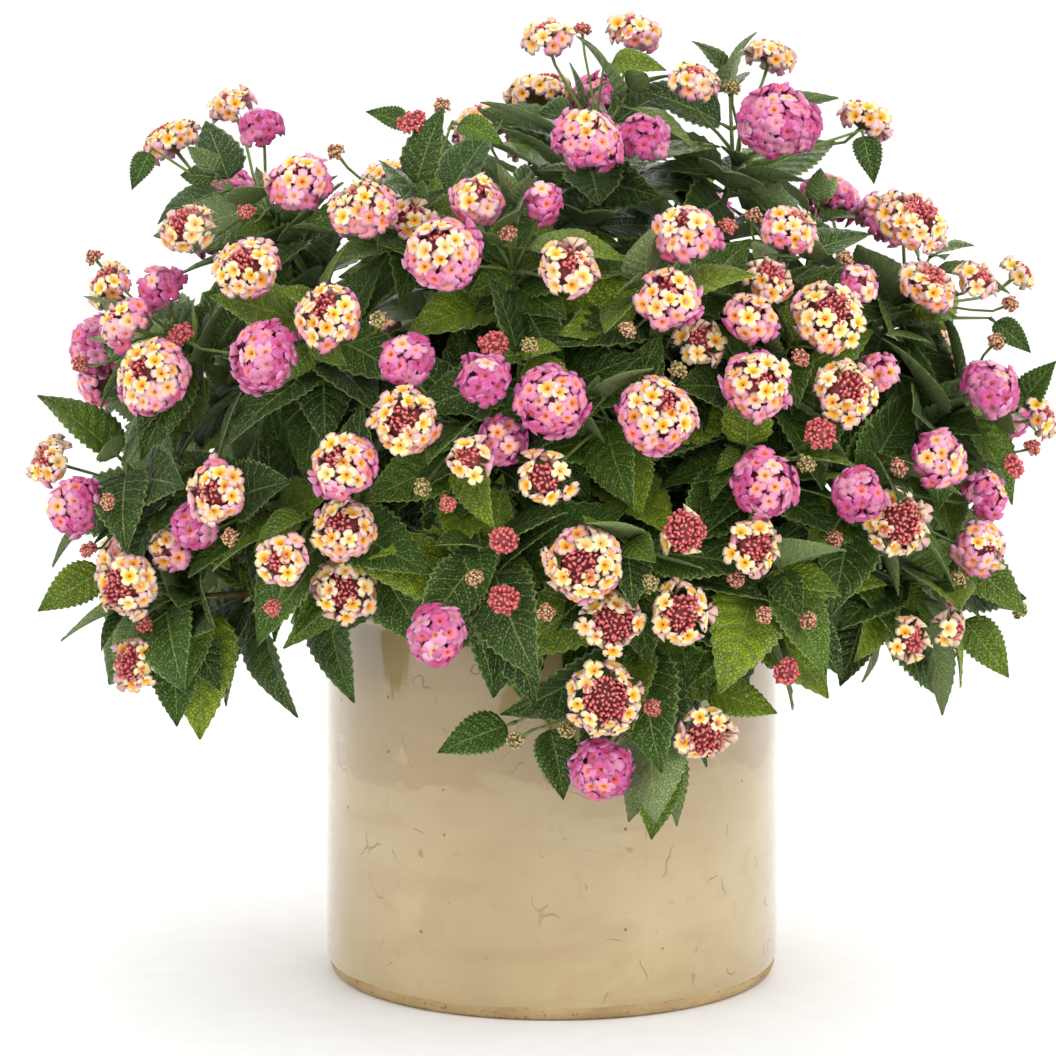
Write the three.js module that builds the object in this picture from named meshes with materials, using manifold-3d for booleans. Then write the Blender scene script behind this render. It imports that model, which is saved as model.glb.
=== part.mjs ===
// A lantana in a glazed stoneware crock. Woody branches rise from the soil and fork into leafy
// shoots, and each shoot ends in a truss of flower heads and bud heads on long stalks.
// Units are millimetres, +Z is up, and the origin is the middle of the crock's underside.
import * as THREE from "three";
import Module from "manifold-3d";
import { mergeVertices } from "three/addons/utils/BufferGeometryUtils.js";

const wasm = await Module();
wasm.setup();

const vec = (x, y, z) => new THREE.Vector3(x, y, z);
const rad = THREE.MathUtils.degToRad;
const UP = vec(0, 0, 1);

// ---------- driving dimensions ----------
const POT = {
  radius: 112, height: 212, wall: 9, floor: 12, foot: 7, bevel: 5,
  collar: 30, collarOut: 2, round: 4, sides: 30,
  drains: 3, drainRadius: 5, drainRing: 62,
};
const SOIL = { top: 187, crown: 5, brow: 0.6, hole: 12 };
const GAP = 0.3; // between pieces that touch
const CLEAR = 0.5; // how much fatter a piece is made when it is tested against its neighbours

// The canopy is an egg: half-widths across, to the front, to the back, up and down from its middle.
// Its rear half is a little narrower and lower.
const CANOPY = {
  middle: vec(-6, 0, 250), across: 256, front: 200, back: 215, up: 214, down: 225, rear: vec(0.9, 1, 0.85),
};
// Front heads are placed as an onlooker sees them, on a plane through the crock's foot that faces
// the onlooker, tilted back by LOOK_DOWN.
const LOOK_DOWN = rad(6.6);
const EYE = vec(-12, -1604, 405);

// Half-widths at the foot and the tip, the length of a leaf node, that of a plain piece, and the
// room that a stem's end keeps from its last node.
const STEM = { base: 3.2, tip: 1.7, node: 4.4, step: 33, room: 7 };
// Shares of the length: spread, width, petiole, arch. pitch is the way from one pair to the next.
const LEAF = { length: 59, spread: 0.16, width: 0.54, petiole: 0.13, thick: 1.5, arch: 0.17, pitch: 21 };
const TRUSS = { sink: 42, section: 4, half: 1.7, stalk: 0.95, budStalk: 0.8, rise: 0.35, crowded: 5 };
const BUD = { diameter: 10.5, depth: 0.9 };
const HEAD_SHARE = 0.96; // of a head's full width, because its florets' tips are rounded off here
const LEAF_LIMIT = 140;

// ---------- where the trusses are ----------
// heads: [across, up, seen diameter, age], from age 0, a cluster of coral buds, to 1, a faded head.
// buds: [across, up]. All are in mm on the onlooker's plane.
const FRONT = {
  top_left: {
    heads: [[-190, 410, 31, 0.3], [-160, 428, 23, 0.3], [-146, 418, 23, 0.95], [-182, 367, 29, 0.2],
      [-127, 390, 33, 0.65]],
    buds: [[-153, 376]],
  },
  high_left: {
    heads: [[-94, 376, 36, 0.55], [-70, 372, 23, 0.4], [-70, 421, 16, 0]],
    buds: [[-108, 406], [-55, 429]],
  },
  far_left: {
    heads: [[-221, 339, 24, 0.25], [-196, 337, 23, 0.85], [-212, 320, 27, 0.6], [-199, 293, 42, 0.6]],
    buds: [[-229, 353], [-236, 300]],
  },
  left: {
    heads: [[-152, 347, 34, 0.45], [-186, 314, 16, 0], [-144, 303, 37, 0.85], [-112, 323, 35, 0.5]],
    buds: [[-87, 322]],
  },
  low_left: {
    heads: [[-250, 251, 25, 0.3], [-238, 229, 32, 0.75]],
    buds: [[-222, 231], [-232, 207]],
  },
  under_left: {
    heads: [[-168, 236, 31, 0.5], [-178, 219, 25, 1], [-190, 208, 22, 0.6]],
    buds: [[-161, 213]],
  },
  skirt_left: { heads: [[-212, 190, 33, 0.25], [-208, 150, 27, 0.1]], buds: [[-204, 170]] },
  stack: {
    heads: [[-104, 249, 36, 0.6], [-104, 217, 34, 0.5], [-103, 188, 34, 0.4], [-134, 201, 27, 0.45]],
    buds: [[-140, 178]],
  },
  upper: {
    heads: [[-54, 355, 41, 0.65], [-37, 381, 29, 0.6], [-4, 381, 20, 0.9], [8, 347, 30, 0.4]],
    buds: [[-22, 365]],
  },
  crest: {
    heads: [[-2, 462, 26, 0.3], [41, 464, 27, 0.45], [18, 411, 38, 0.7], [46, 413, 26, 1]],
    buds: [[15, 467]],
  },
  top_right: {
    heads: [[71, 440, 26, 0.3], [109, 453, 26, 0.25], [113, 420, 43, 0.9], [156, 421, 29, 0.3]],
    buds: [[90, 438]],
  },
  mid_high: {
    heads: [[67, 364, 34, 0.6], [58, 332, 34, 0.6], [74, 311, 24, 0.2]],
    buds: [[88, 369], [38, 317]],
  },
  high_right: {
    heads: [[118, 366, 30, 0.55], [108, 342, 24, 0.2], [138, 323, 38, 0.35], [154, 340, 20, 0.65]],
    buds: [[101, 374], [147, 352]],
  },
  far_right: {
    heads: [[180, 370, 37, 0.35], [187, 338, 30, 0.35], [212, 341, 23, 0.25], [233, 345, 18, 0.1]],
    buds: [[229, 330]],
  },
  right: {
    heads: [[102, 289, 36, 0.6], [99, 322, 27, 0.65], [146, 286, 33, 0.3], [164, 296, 20, 0.7]],
    buds: [[124, 303]],
  },
  heart: {
    heads: [[0, 281, 39, 0.75], [-34, 292, 28, 0.95], [-24, 261, 25, 0.8], [-29, 310, 16, 0]],
    buds: [[-11, 309]],
  },
  mid_left: {
    heads: [[-73, 301, 29, 0.95], [-73, 271, 34, 0.4], [-42, 252, 21, 0.2]],
    buds: [[-65, 238], [-52, 230]],
  },
  middle: { heads: [[52, 274, 43, 0.6], [-4, 243, 26, 0.2]], buds: [[63, 297]] },
  mid_right: { heads: [[106, 240, 35, 0.85], [134, 265, 17, 0], [100, 208, 28, 0.2]], buds: [[127, 250]] },
  low_right: {
    heads: [[172, 221, 34, 0.1], [153, 235, 27, 1], [193, 252, 31, 0.7], [216, 234, 26, 0.85],
      [213, 208, 28, 0.6]],
    buds: [[173, 248], [141, 212]],
  },
  edge_right: {
    heads: [[219, 287, 33, 0.9], [244, 273, 21, 0.2], [231, 249, 14, 0]],
    buds: [[240, 258], [222, 311]],
  },
  skirt_right: { heads: [[178, 162, 21, 0.15], [199, 168, 19, 0.2]], buds: [[203, 192], [234, 177]] },
  skirt: {
    heads: [[16, 200, 40, 0.4], [30, 171, 31, 0.1], [66, 216, 23, 0.05], [64, 175, 31, 0.15]],
    buds: [[49, 190]],
  },
  skirt_mid: {
    heads: [[-24, 212, 15, 0], [-24, 182, 16, 0], [-57, 165, 31, 0.95]],
    buds: [[-39, 193], [-3, 176]],
  },
  skirt_low: {
    heads: [[25, 133, 38, 0.15], [25, 98, 34, 0.9], [76, 116, 29, 0.1]],
    buds: [[50, 128], [7, 117], [-18, 112]],
  },
  hem_right: { heads: [[117, 146, 15, 0]], buds: [[92, 192], [106, 174], [128, 172]] },
};
// Rear trusses stand on the canopy at [turn from +X, rise] in degrees.
const REAR = {
  crown: [80, 78], back_top: [100, 60],
  back_high_1: [20, 42], back_high_2: [65, 44], back_high_3: [115, 44], back_high_4: [160, 42],
  back_mid_1: [8, 14], back_mid_2: [40, 12], back_mid_3: [75, 12], back_mid_4: [108, 12],
  back_mid_5: [142, 12], back_mid_6: [172, 14],
  back_low_1: [22, -18], back_low_2: [66, -24], back_low_3: [112, -24], back_low_4: [158, -18],
};
const REAR_HEADS = { count: 2, away: 24, diameter: 37, vary: 0.15, ages: [0.6, 0.25, 0.9, 0.45, 0.15, 0.75] };
// Each branch forks into these shoots, and the first one carries its main stem on.
const BRANCHES = [
  ["top_left", "high_left"], ["far_left", "left", "low_left"], ["under_left", "stack", "skirt_left"],
  ["mid_left", "skirt_mid"], ["crest", "upper"], ["heart", "middle"], ["mid_high", "right"],
  ["top_right", "high_right"], ["far_right", "edge_right"], ["mid_right", "low_right", "skirt_right"],
  ["skirt_low", "skirt", "hem_right"],
  ["crown", "back_top", "back_high_2"], ["back_mid_1", "back_high_1", "back_low_1"],
  ["back_mid_2", "back_mid_3", "back_low_2"], ["back_mid_5", "back_mid_4", "back_low_3", "back_high_3"],
  ["back_mid_6", "back_high_4", "back_low_4"],
];

// ---------- small helpers ----------
const mix = (a, b, t) => a.clone().lerp(b, t);
const along = (at, way, far) => at.clone().addScaledVector(way, far);
const mean = (all) => all.reduce((sum, v) => sum.add(v), vec(0, 0, 0)).divideScalar(all.length);
// What is left of a direction square on to an axis.
const flat = (v, axis) => v.clone().addScaledVector(axis, -v.dot(axis)).normalize();
// A repeatable draw from 0 to 1: the k-th choice about item n.
function draw(n, k) {
  let h = Math.imul(n + 1, 0x9e3779b1) ^ Math.imul(k + 1, 0x85ebca6b);
  h = Math.imul(h ^ (h >>> 15), 0x2c1b3c6d);
  h = Math.imul(h ^ (h >>> 12), 0x297a2d39);
  return ((h ^ (h >>> 15)) >>> 0) / 4294967296;
}
// A section of a stem or stalk: a square about `at`, square on to `way`, its first side to `right`.
const section = (at, way, right, half) => ({ at, way, right, up: way.clone().cross(right), half });

// ---------- skins: closed surfaces grown ring by ring ----------
class Skin {
  points = [];
  faces = [];
  point(v) { return this.points.push(v.x, v.y, v.z) / 3 - 1; }
  corner(k) { return vec(...this.points.slice(3 * k, 3 * k + 3)); }
  tri(a, b, c) { this.faces.push(a, b, c); }
  quad(a, b, c, d) { this.faces.push(a, b, c, a, c, d); }
  // Four corners, anticlockwise as seen from the tip.
  ring({ at, right, up, half }, fatter = 0) {
    const reach = half + fatter;
    const turns = [[1, 1], [-1, 1], [-1, -1], [1, -1]];
    return turns.map(([r, u]) => this.point(along(along(at, right, r * reach), up, u * reach)));
  }
  close(ring) { this.quad(...ring); }
  base(ring) { this.quad(...ring.toReversed()); }
  // The strip between two chains of [vertex, share of the length] that meet at one tip.
  strip(p, q, tip) {
    let i = 0, j = 0;
    while (i < p.length - 1 || j < q.length - 1) {
      const second = i === p.length - 1 || (j < q.length - 1 && q[j + 1][1] < p[i + 1][1]);
      if (second) this.tri(p[i][0], q[j][0], q[++j][0]);
      else this.tri(p[i][0], q[j][0], p[++i][0]);
    }
    this.tri(p[i][0], q[j][0], tip);
  }
  // The band between two rings of [vertex, angle], both anticlockwise from angle 0.
  band(low, high) {
    const last = [low.at(-1)[0], high.at(-1)[0]];
    const all = [...low.map(([v, a]) => [v, a, 0]), ...high.map(([v, a]) => [v, a, 1])];
    for (const [v, , side] of all.sort((a, b) => a[1] - b[1])) {
      this.tri(last[0], v, last[1]);
      last[side] = v;
    }
  }
  solid() {
    return new wasm.Manifold(new wasm.Mesh({
      numProp: 3, vertProperties: new Float32Array(this.points), triVerts: new Uint32Array(this.faces),
    }));
  }
  geometry() {
    return new THREE.BufferGeometry()
      .setAttribute("position", new THREE.Float32BufferAttribute(this.points, 3)).setIndex(this.faces);
  }
}

// Side s of a section looks along `right`, turned by s quarter turns.
const sideWay = ({ right, way }, s) => right.clone().applyAxisAngle(way, (s * Math.PI) / 2);
// The square that a side offers between two sections, for something to grow from.
function sideSection(a, b, s) {
  const way = sideWay(a, s);
  const at = along(mix(a.at, b.at, 0.5), way, (a.half + b.half) / 2);
  return section(at, way, a.way.clone().cross(way).normalize(), (a.half + b.half) / 2);
}
// A stem through sections. opens[i][s] grows something out of side s between sections i and i + 1.
function growStem(skin, root, sections, opens = {}) {
  let ring = root;
  sections.forEach((to, i) => {
    if (i === 0) return;
    const next = skin.ring(to);
    for (let s = 0; s < 4; s++) {
      const a = (s + 3) % 4;
      const grow = opens[i - 1]?.[s];
      if (grow) grow(skin, [next[s], next[a], ring[a], ring[s]]);
      else skin.quad(ring[a], ring[s], next[s], next[a]);
    }
    ring = next;
  });
  return ring;
}
// The same ring, started at the corner that lies furthest towards `up`.
function turned(skin, ring, up) {
  const height = (k) => skin.corner(ring[k]).dot(up);
  const top = [0, 1, 2, 3].reduce((best, k) => (height(k) > height(best) ? k : best), 0);
  return ring.map((_, k) => ring[(k + top) % 4]);
}
// A direction carried without twist from one way along a stem to another.
const carried = (v, from, to) =>
  v.clone().applyQuaternion(new THREE.Quaternion().setFromUnitVectors(from, to));
// Sections along a curve that goes on from `root`. stops are [place, half width].
function sectionsOn(curve, root, stops) {
  let last = root;
  return stops.map(([t, half]) => {
    const way = curve.getTangentAt(t);
    last = section(curve.getPointAt(t), way, carried(last.right, last.way, way), half);
    return last;
  });
}

// ---------- leaves ----------
// [share of the blade's length, share of its half-width]: teeth and the notches between them.
const EDGE = [[0.12, 0.72], [0.3, 1], [0.42, 0.86], [0.56, 0.87], [0.68, 0.6], [0.82, 0.47]];
const MIDRIB = 0.38; // where along the blade its midrib has its one corner
const RAISED = { tooth: 0.24, notch: 0.12 }; // how far the edge stands above the midrib, of its half-width
// The leaf has its root at `at`, points along `way` and turns its upper side to `face`.
function growLeaf(skin, ring, { at, way, face, length }, fatter = 0) {
  const right = face.clone().cross(way);
  const half = (length * LEAF.width) / 2;
  const onBlade = (s) => LEAF.petiole + (1 - LEAF.petiole) * s;
  const spot = (u, across, lift) =>
    along(along(along(at, way, length * u), right, across), face, lift - LEAF.arch * length * u * u);
  const tip = skin.point(spot(1, 0, 0));
  const thin = LEAF.thick / 2 + fatter;
  const collar = [[0, thin], [-1, 0], [0, -thin], [1, 0]].map(([side, lift]) =>
    [skin.point(spot(LEAF.petiole, side * (1 + fatter), lift)), LEAF.petiole]);
  ring.forEach((v, k) => skin.quad(v, ring[(k + 1) % 4], collar[(k + 1) % 4][0], collar[k][0]));
  const edge = (side) => EDGE.map(([s, wide], k) => {
    const lift = half * wide * (k % 2 ? RAISED.notch : RAISED.tooth);
    return [skin.point(spot(onBlade(s), side * (half * wide + fatter), lift)), onBlade(s)];
  });
  const rib = (side) => [[skin.point(spot(onBlade(MIDRIB), 0, side * thin)), onBlade(MIDRIB)]];
  const chains = [rib(1), edge(-1), rib(-1), edge(1)].map((chain, k) => [collar[k], ...chain]);
  chains.forEach((chain, k) => skin.strip(chain, chains[(k + 1) % 4], tip));
}
const LEAF_ROOT = 1;
function leafSolid(leaf, fatter) {
  const skin = new Skin();
  const right = leaf.face.clone().cross(leaf.way);
  const ring = skin.ring(section(leaf.at, leaf.way, right, LEAF_ROOT), fatter);
  skin.base(ring);
  growLeaf(skin, ring, leaf, fatter);
  return skin.solid();
}

// ---------- flower heads ----------
// Florets stand in `fold` columns at these leans from the top, with creases between them.
const KINDS = {
  large: { fold: 6, leans: [rad(97), rad(52)], crease: 0.8 },
  middling: { fold: 5, leans: [rad(97), rad(55)], crease: 0.8 },
  small: { fold: 5, leans: [rad(82)], crease: 0.76 },
  bud: { fold: 4, leans: [rad(97)], crease: 0.8 },
};
const LARGEST = { bud: 12, small: 26, middling: 39 };
const kindOf = (diameter) =>
  KINDS[Object.keys(LARGEST).find((kind) => diameter < LARGEST[kind]) ?? "large"];
// Where the stalk meets the head, behind its middle.
const NECK = 0.42;
const neck = (head, half) =>
  section(along(head.at, head.face, -NECK * head.radius * head.depth), head.face, head.right, half);
const EASE = 0.01; // keeps a column off the line of a neck's corner
const TOP_CREASE = 0.62; // how far down the uppermost creases lie, of the way to the uppermost florets
function growHead(skin, ring, { at, face, right, radius, depth, kind }, fatter = 0) {
  const up = face.clone().cross(right);
  const reach = radius + fatter;
  const spot = (turn, lean, share) => skin.point(
    along(along(along(at, right, Math.cos(turn) * Math.sin(lean) * reach * share),
      up, Math.sin(turn) * Math.sin(lean) * reach * share),
    face, Math.cos(lean) * (radius * depth + fatter) * share));
  const step = (2 * Math.PI) / kind.fold;
  const rows = kind.leans.map((lean, r) => Array.from({ length: kind.fold }, (_, k) => {
    const turn = (k + r / 2) * step + EASE;
    return { id: spot(turn, lean, 1), turn, lean };
  }));
  const crease = (a, b, c, turn, lean) => {
    const low = spot(turn, lean, kind.crease);
    skin.tri(a, b, low);
    skin.tri(b, c, low);
    skin.tri(c, a, low);
  };
  const apex = spot(0, 0, 1);
  const [low, high] = rows;
  const top = high ?? low;
  for (let k = 0; k < kind.fold; k++) {
    const next = (k + 1) % kind.fold;
    crease(top[k].id, top[next].id, apex, top[k].turn + step / 2, top[k].lean * TOP_CREASE);
    if (!high) continue;
    const before = high[(k + kind.fold - 1) % kind.fold];
    const third = (low[k].lean - high[k].lean) / 3;
    crease(low[k].id, low[next].id, high[k].id, low[k].turn + step / 2, low[k].lean - third);
    crease(low[k].id, high[k].id, before.id, low[k].turn, high[k].lean + third);
  }
  const corners = ring.map((v, k) => [v, Math.PI / 4 + (k * Math.PI) / 2]);
  skin.band(corners, low.map((v) => [v.id, v.turn]));
}
function headSolid(head, fatter) {
  const skin = new Skin();
  const ring = skin.ring(neck(head, 1), fatter);
  skin.base(ring);
  growHead(skin, ring, head, fatter);
  return skin.solid();
}
// A straight piece of stem between two sections.
function beamSolid(a, b, fatter) {
  const skin = new Skin();
  const ring = skin.ring(a, fatter);
  skin.base(ring);
  skin.close(growStem(skin, ring, [a, { ...b, half: b.half + fatter }]));
  return skin.solid();
}

// ---------- what is already in place ----------
const placed = [];
function boxed(solid, owner) {
  const { min, max } = solid.boundingBox();
  return { solid, owner, low: vec(...min), high: vec(...max) };
}
const apart = (a, b) => ["x", "y", "z"].some((k) => a.low[k] > b.high[k] || b.low[k] > a.high[k]);
// How many placed pieces this one would cross, leaving out those that `skip` names.
function crossings(solid, skip) {
  const it = boxed(solid);
  const near = placed.filter((p) => !skip(p.owner) && !apart(p, it));
  return near.filter((p) => !p.solid.intersect(solid).isEmpty()).length;
}
const keep = (solid, owner) => placed.push(boxed(solid, owner));

// ---------- crock and soil ----------
function solidOf(geometry) {
  const bare = geometry.clone();
  bare.deleteAttribute("normal");
  bare.deleteAttribute("uv");
  const { attributes, index } = mergeVertices(bare, 1e-4);
  return new wasm.Manifold(new wasm.Mesh({
    numProp: 3, vertProperties: new Float32Array(attributes.position.array),
    triVerts: new Uint32Array(index.array),
  }));
}
function geometryOf(solid) {
  const { vertProperties, triVerts } = solid.getMesh();
  return new THREE.BufferGeometry()
    .setAttribute("position", new THREE.Float32BufferAttribute(vertProperties, 3))
    .setIndex(Array.from(triVerts));
}
// A profile of [radius, height] that starts and ends on the axis, turned about +Z.
const lathed = (profile, sides) =>
  new THREE.LatheGeometry(profile.map(([r, z]) => new THREE.Vector2(r, z)), sides).rotateX(Math.PI / 2);
const OUTER = POT.radius + POT.collarOut;
const INNER = POT.radius - POT.wall;
const FOOT_IN = 1; // how far the bare foot stands back
function crockSolid() {
  const { radius, height, floor, foot, bevel, collar, collarOut, round } = POT;
  return solidOf(lathed([
    [0, 0], [radius - bevel, 0], [radius - FOOT_IN, foot], [radius, foot + bevel], [radius, height - collar],
    [OUTER, height - collar + collarOut], [OUTER, height - round], [OUTER - round, height],
    [INNER + round, height], [INNER, height - round], [INNER, floor], [0, floor],
  ], POT.sides));
}
function potGeometry() {
  let solid = crockSolid();
  for (let k = 0; k < POT.drains; k++) {
    const turn = (2 * Math.PI * k) / POT.drains + Math.PI / 2;
    const drain = new THREE.CylinderGeometry(POT.drainRadius, POT.drainRadius, 3 * POT.floor, 8)
      .rotateX(Math.PI / 2).translate(POT.drainRing * Math.cos(turn), POT.drainRing * Math.sin(turn), 0);
    solid = solid.subtract(solidOf(drain));
  }
  return geometryOf(solid);
}
function soilGeometry(feet) {
  const edge = INNER - GAP;
  const bottom = POT.floor + GAP;
  let solid = solidOf(lathed([
    [0, bottom], [edge, bottom], [edge, SOIL.top - SOIL.crown],
    [edge * SOIL.brow, SOIL.top - SOIL.crown / 5], [0, SOIL.top],
  ], POT.sides));
  for (const foot of feet) {
    const side = 2 * (foot.half + GAP);
    const hole = new THREE.BoxGeometry(side, side, 2 * SOIL.hole)
      .rotateZ(Math.atan2(foot.right.y, foot.right.x)).translate(foot.at.x, foot.at.y, SOIL.top);
    solid = solid.subtract(solidOf(hole));
  }
  return geometryOf(solid);
}

// ---------- places on the canopy ----------
const canopySize = (y, up, scale) =>
  vec(CANOPY.across, y, up ? CANOPY.up : CANOPY.down).multiplyScalar(scale);
const plane = (across, up) => vec(across, up * Math.sin(LOOK_DOWN), up * Math.cos(LOOK_DOWN));
// Where the line of sight through a spot on the onlooker's plane meets the canopy, drawn in by
// `scale`. It passes a canopy that it misses as closely as it can.
function sighted(across, up, scale) {
  const way = plane(across, up).sub(EYE);
  const size = canopySize(CANOPY.front, up > CANOPY.middle.z, scale);
  const eye = EYE.clone().sub(CANOPY.middle).divide(size);
  const look = way.clone().divide(size);
  const a = look.dot(look), b = eye.dot(look), c = eye.dot(eye) - 1;
  const share = (-b - Math.sqrt(Math.max(0, b * b - a * c))) / a;
  const at = along(EYE, way, share);
  return { at, out: at.clone().sub(CANOPY.middle).divide(size).divide(size).normalize(), share };
}
function rearward(turn, rise, scale) {
  const size = canopySize(CANOPY.back, rise > 0, scale).multiply(CANOPY.rear);
  const way = vec(Math.cos(turn) * Math.cos(rise), Math.sin(turn) * Math.cos(rise), Math.sin(rise));
  return { at: way.clone().multiply(size).add(CANOPY.middle), out: way.divide(size).normalize(), share: 1 };
}

// ---------- heads ----------
const heads = [];
function addHead(truss, spot, seen, age) {
  const n = heads.length;
  heads.push({ n, truss, spot, seen, age: age ?? 0, bud: age === undefined });
}
for (const [truss, items] of Object.entries(FRONT)) {
  for (const [x, z, seen, age] of items.heads) addHead(truss, (s) => sighted(x, z, s), seen, age);
  for (const [x, z] of items.buds) addHead(truss, (s) => sighted(x, z, s), BUD.diameter);
}
for (const [truss, [turn, rise]] of Object.entries(REAR)) {
  for (let k = 0; k < REAR_HEADS.count; k++) {
    const n = heads.length;
    const round = (2 * Math.PI * (k + 0.4 * draw(n, 1))) / REAR_HEADS.count;
    const far = REAR_HEADS.away / CANOPY.across;
    const a = rad(turn) + (far * Math.cos(round)) / Math.cos(rad(rise));
    const e = rad(rise) + far * Math.sin(round);
    const seen = REAR_HEADS.diameter * (1 + REAR_HEADS.vary * (2 * draw(n, 2) - 1));
    addHead(truss, (s) => rearward(a, e, s), seen, REAR_HEADS.ages[n % REAR_HEADS.ages.length]);
  }
}
// The largest heads take the canopy's surface, and the ones they would touch stand further in.
const SINKS = [1, 0.97, 0.94, 1.03, 0.91, 0.88, 1.06, 0.85, 0.82, 0.79, 0.76];
const LIFT = 0.28; // how far a head turns up from the canopy's own slope
const WANDER = 0.5; // how far it strays to any side
const NEIGHBOURLY = 1.03; // the share of their radii that two heads keep apart at least
const DEPTH = { young: 0.6, faded: 0.9 }; // of a head, of its radius
heads.sort((a, b) => b.seen - a.seen || a.n - b.n);
heads.forEach((head, i) => {
  const room = (s) => {
    const { at, share } = head.spot(s);
    const radius = (head.seen * share * HEAD_SHARE) / 2;
    const gaps = heads.slice(0, i).map((h) => at.distanceTo(h.at) - (h.radius + radius) * NEIGHBOURLY);
    return Math.min(Infinity, ...gaps);
  };
  const scale = SINKS.find((s) => room(s) > CLEAR) ?? SINKS.reduce((a, b) => (room(b) > room(a) ? b : a));
  const { at, out, share } = head.spot(scale);
  head.at = at;
  head.radius = (head.seen * share * HEAD_SHARE) / 2;
  head.depth = head.bud ? BUD.depth : THREE.MathUtils.lerp(DEPTH.young, DEPTH.faded, head.age);
  head.kind = kindOf(head.seen);
  const stray = vec(draw(head.n, 3) - 0.5, draw(head.n, 4) - 0.5, draw(head.n, 5) - 0.5);
  head.face = along(along(out, UP, LIFT), stray, WANDER).normalize();
  head.right = UP.clone().cross(head.face).normalize();
  head.out = out;
});
heads.sort((a, b) => a.n - b.n);
for (const head of heads) keep(headSolid(head, CLEAR / 2), `head ${head.n}`);

// ---------- trusses ----------
const HANG = { below: POT.height - 30, raise: 14, out: 0.3, rise: 90 };
// The truss's foot stands inside the canopy. The lowest ones hang from stems that come over the rim.
function trussFoot(items, sink, sway) {
  const middle = mean(items.map((h) => h.at));
  const out = mean(items.map((h) => h.out)).normalize();
  const side = UP.clone().cross(out).normalize();
  const at = along(along(middle, out, -sink), side, sway);
  const hangs = at.z < HANG.below;
  if (hangs) at.z += HANG.raise;
  const aim = hangs ? along(UP.clone().negate(), out, HANG.out) : along(out, UP, TRUSS.rise);
  return { at, aim: aim.normalize(), hangs };
}
// The way a head faces, no further than NOD from the way its stalk comes.
const NOD = rad(52);
function facing(head, way) {
  const angle = head.face.angleTo(way);
  if (angle <= NOD) return head.face;
  return way.clone().applyAxisAngle(way.clone().cross(head.face).normalize(), NOD);
}
// The square sections of the truss's short stem, and for each head the side its stalk leaves from.
function trussPlan(name, sink, sway, skew) {
  const items = heads.filter((h) => h.truss === name);
  const { at, aim, hangs } = trussFoot(items, sink, sway);
  const right = flat(vec(Math.cos(skew), Math.sin(skew), 0.2), aim);
  const count = items.length > TRUSS.crowded ? 3 : 2;
  const sections = Array.from({ length: count + 1 }, (_, i) =>
    section(along(at, aim, GAP + i * TRUSS.section), aim, right, TRUSS.half));
  const end = sections.at(-1);
  const lean = (h) => h.at.clone().sub(end.at).normalize().dot(aim);
  const [first, ...rest] = items.toSorted((a, b) => lean(b) - lean(a));
  const free = [];
  for (let i = 0; i < count; i++) {
    for (let s = 0; s < 4; s++) free.push({ i, s, from: sideSection(sections[i], sections[i + 1], s) });
  }
  const stalks = [{ head: first, from: end }];
  for (const head of rest) {
    const fit = ({ i, from }) => head.at.clone().sub(from.at).normalize().dot(from.way) + EASE * i;
    const best = free.reduce((a, b) => (fit(b) > fit(a) ? b : a));
    free.splice(free.indexOf(best), 1);
    stalks.push({ head, ...best });
  }
  for (const stalk of stalks) {
    const half = stalk.head.bud ? TRUSS.budStalk : TRUSS.stalk;
    const way = stalk.head.at.clone().sub(stalk.from.at).normalize();
    const face = facing(stalk.head, way);
    const right = carried(carried(stalk.from.right, stalk.from.way, way), way, face);
    stalk.head = { ...stalk.head, face, right };
    stalk.to = neck(stalk.head, half);
  }
  return { name, at, aim, hangs, sections, stalks };
}
// The four corners of the side that a stalk leaves from, in the order of a ring.
function stalkRoot(skin, sections, { i, s, from }) {
  if (s === undefined) return skin.ring(from);
  const [low, high] = [sections[i], sections[i + 1]].map((at) => {
    const corners = new Skin();
    return corners.ring(at).map((k) => corners.corner(k));
  });
  const a = (s + 3) % 4;
  return [high[s], high[a], low[a], low[s]].map((v) => skin.point(v));
}
function stalkSolid(sections, stalk) {
  const skin = new Skin();
  const ring = stalkRoot(skin, sections, stalk);
  skin.base(ring);
  skin.close(growStem(skin, ring, [null, stalk.to]));
  return skin.solid();
}
const STALK_TEST = 5; // a fatter stalk is tested from this far off the stem that it leaves
function fatStalk({ from, to }) {
  const way = to.at.clone().sub(from.at).normalize();
  const right = carried(from.right, from.way, way);
  const foot = section(along(from.at, way, STALK_TEST), way, right, (from.half + to.half) / 2);
  const top = section(along(to.at, way, -1), way, right, to.half);
  return beamSolid(foot, top, CLEAR / 2);
}
const TOUCH = 0.0002; // mm3, what two solids may share where they only touch
const meet = (a, b) => a.intersect(b).volume() > TOUCH;
const GRAZE = 0.2; // a stalk that leaves its stem more flatly than this counts as a fault
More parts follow.
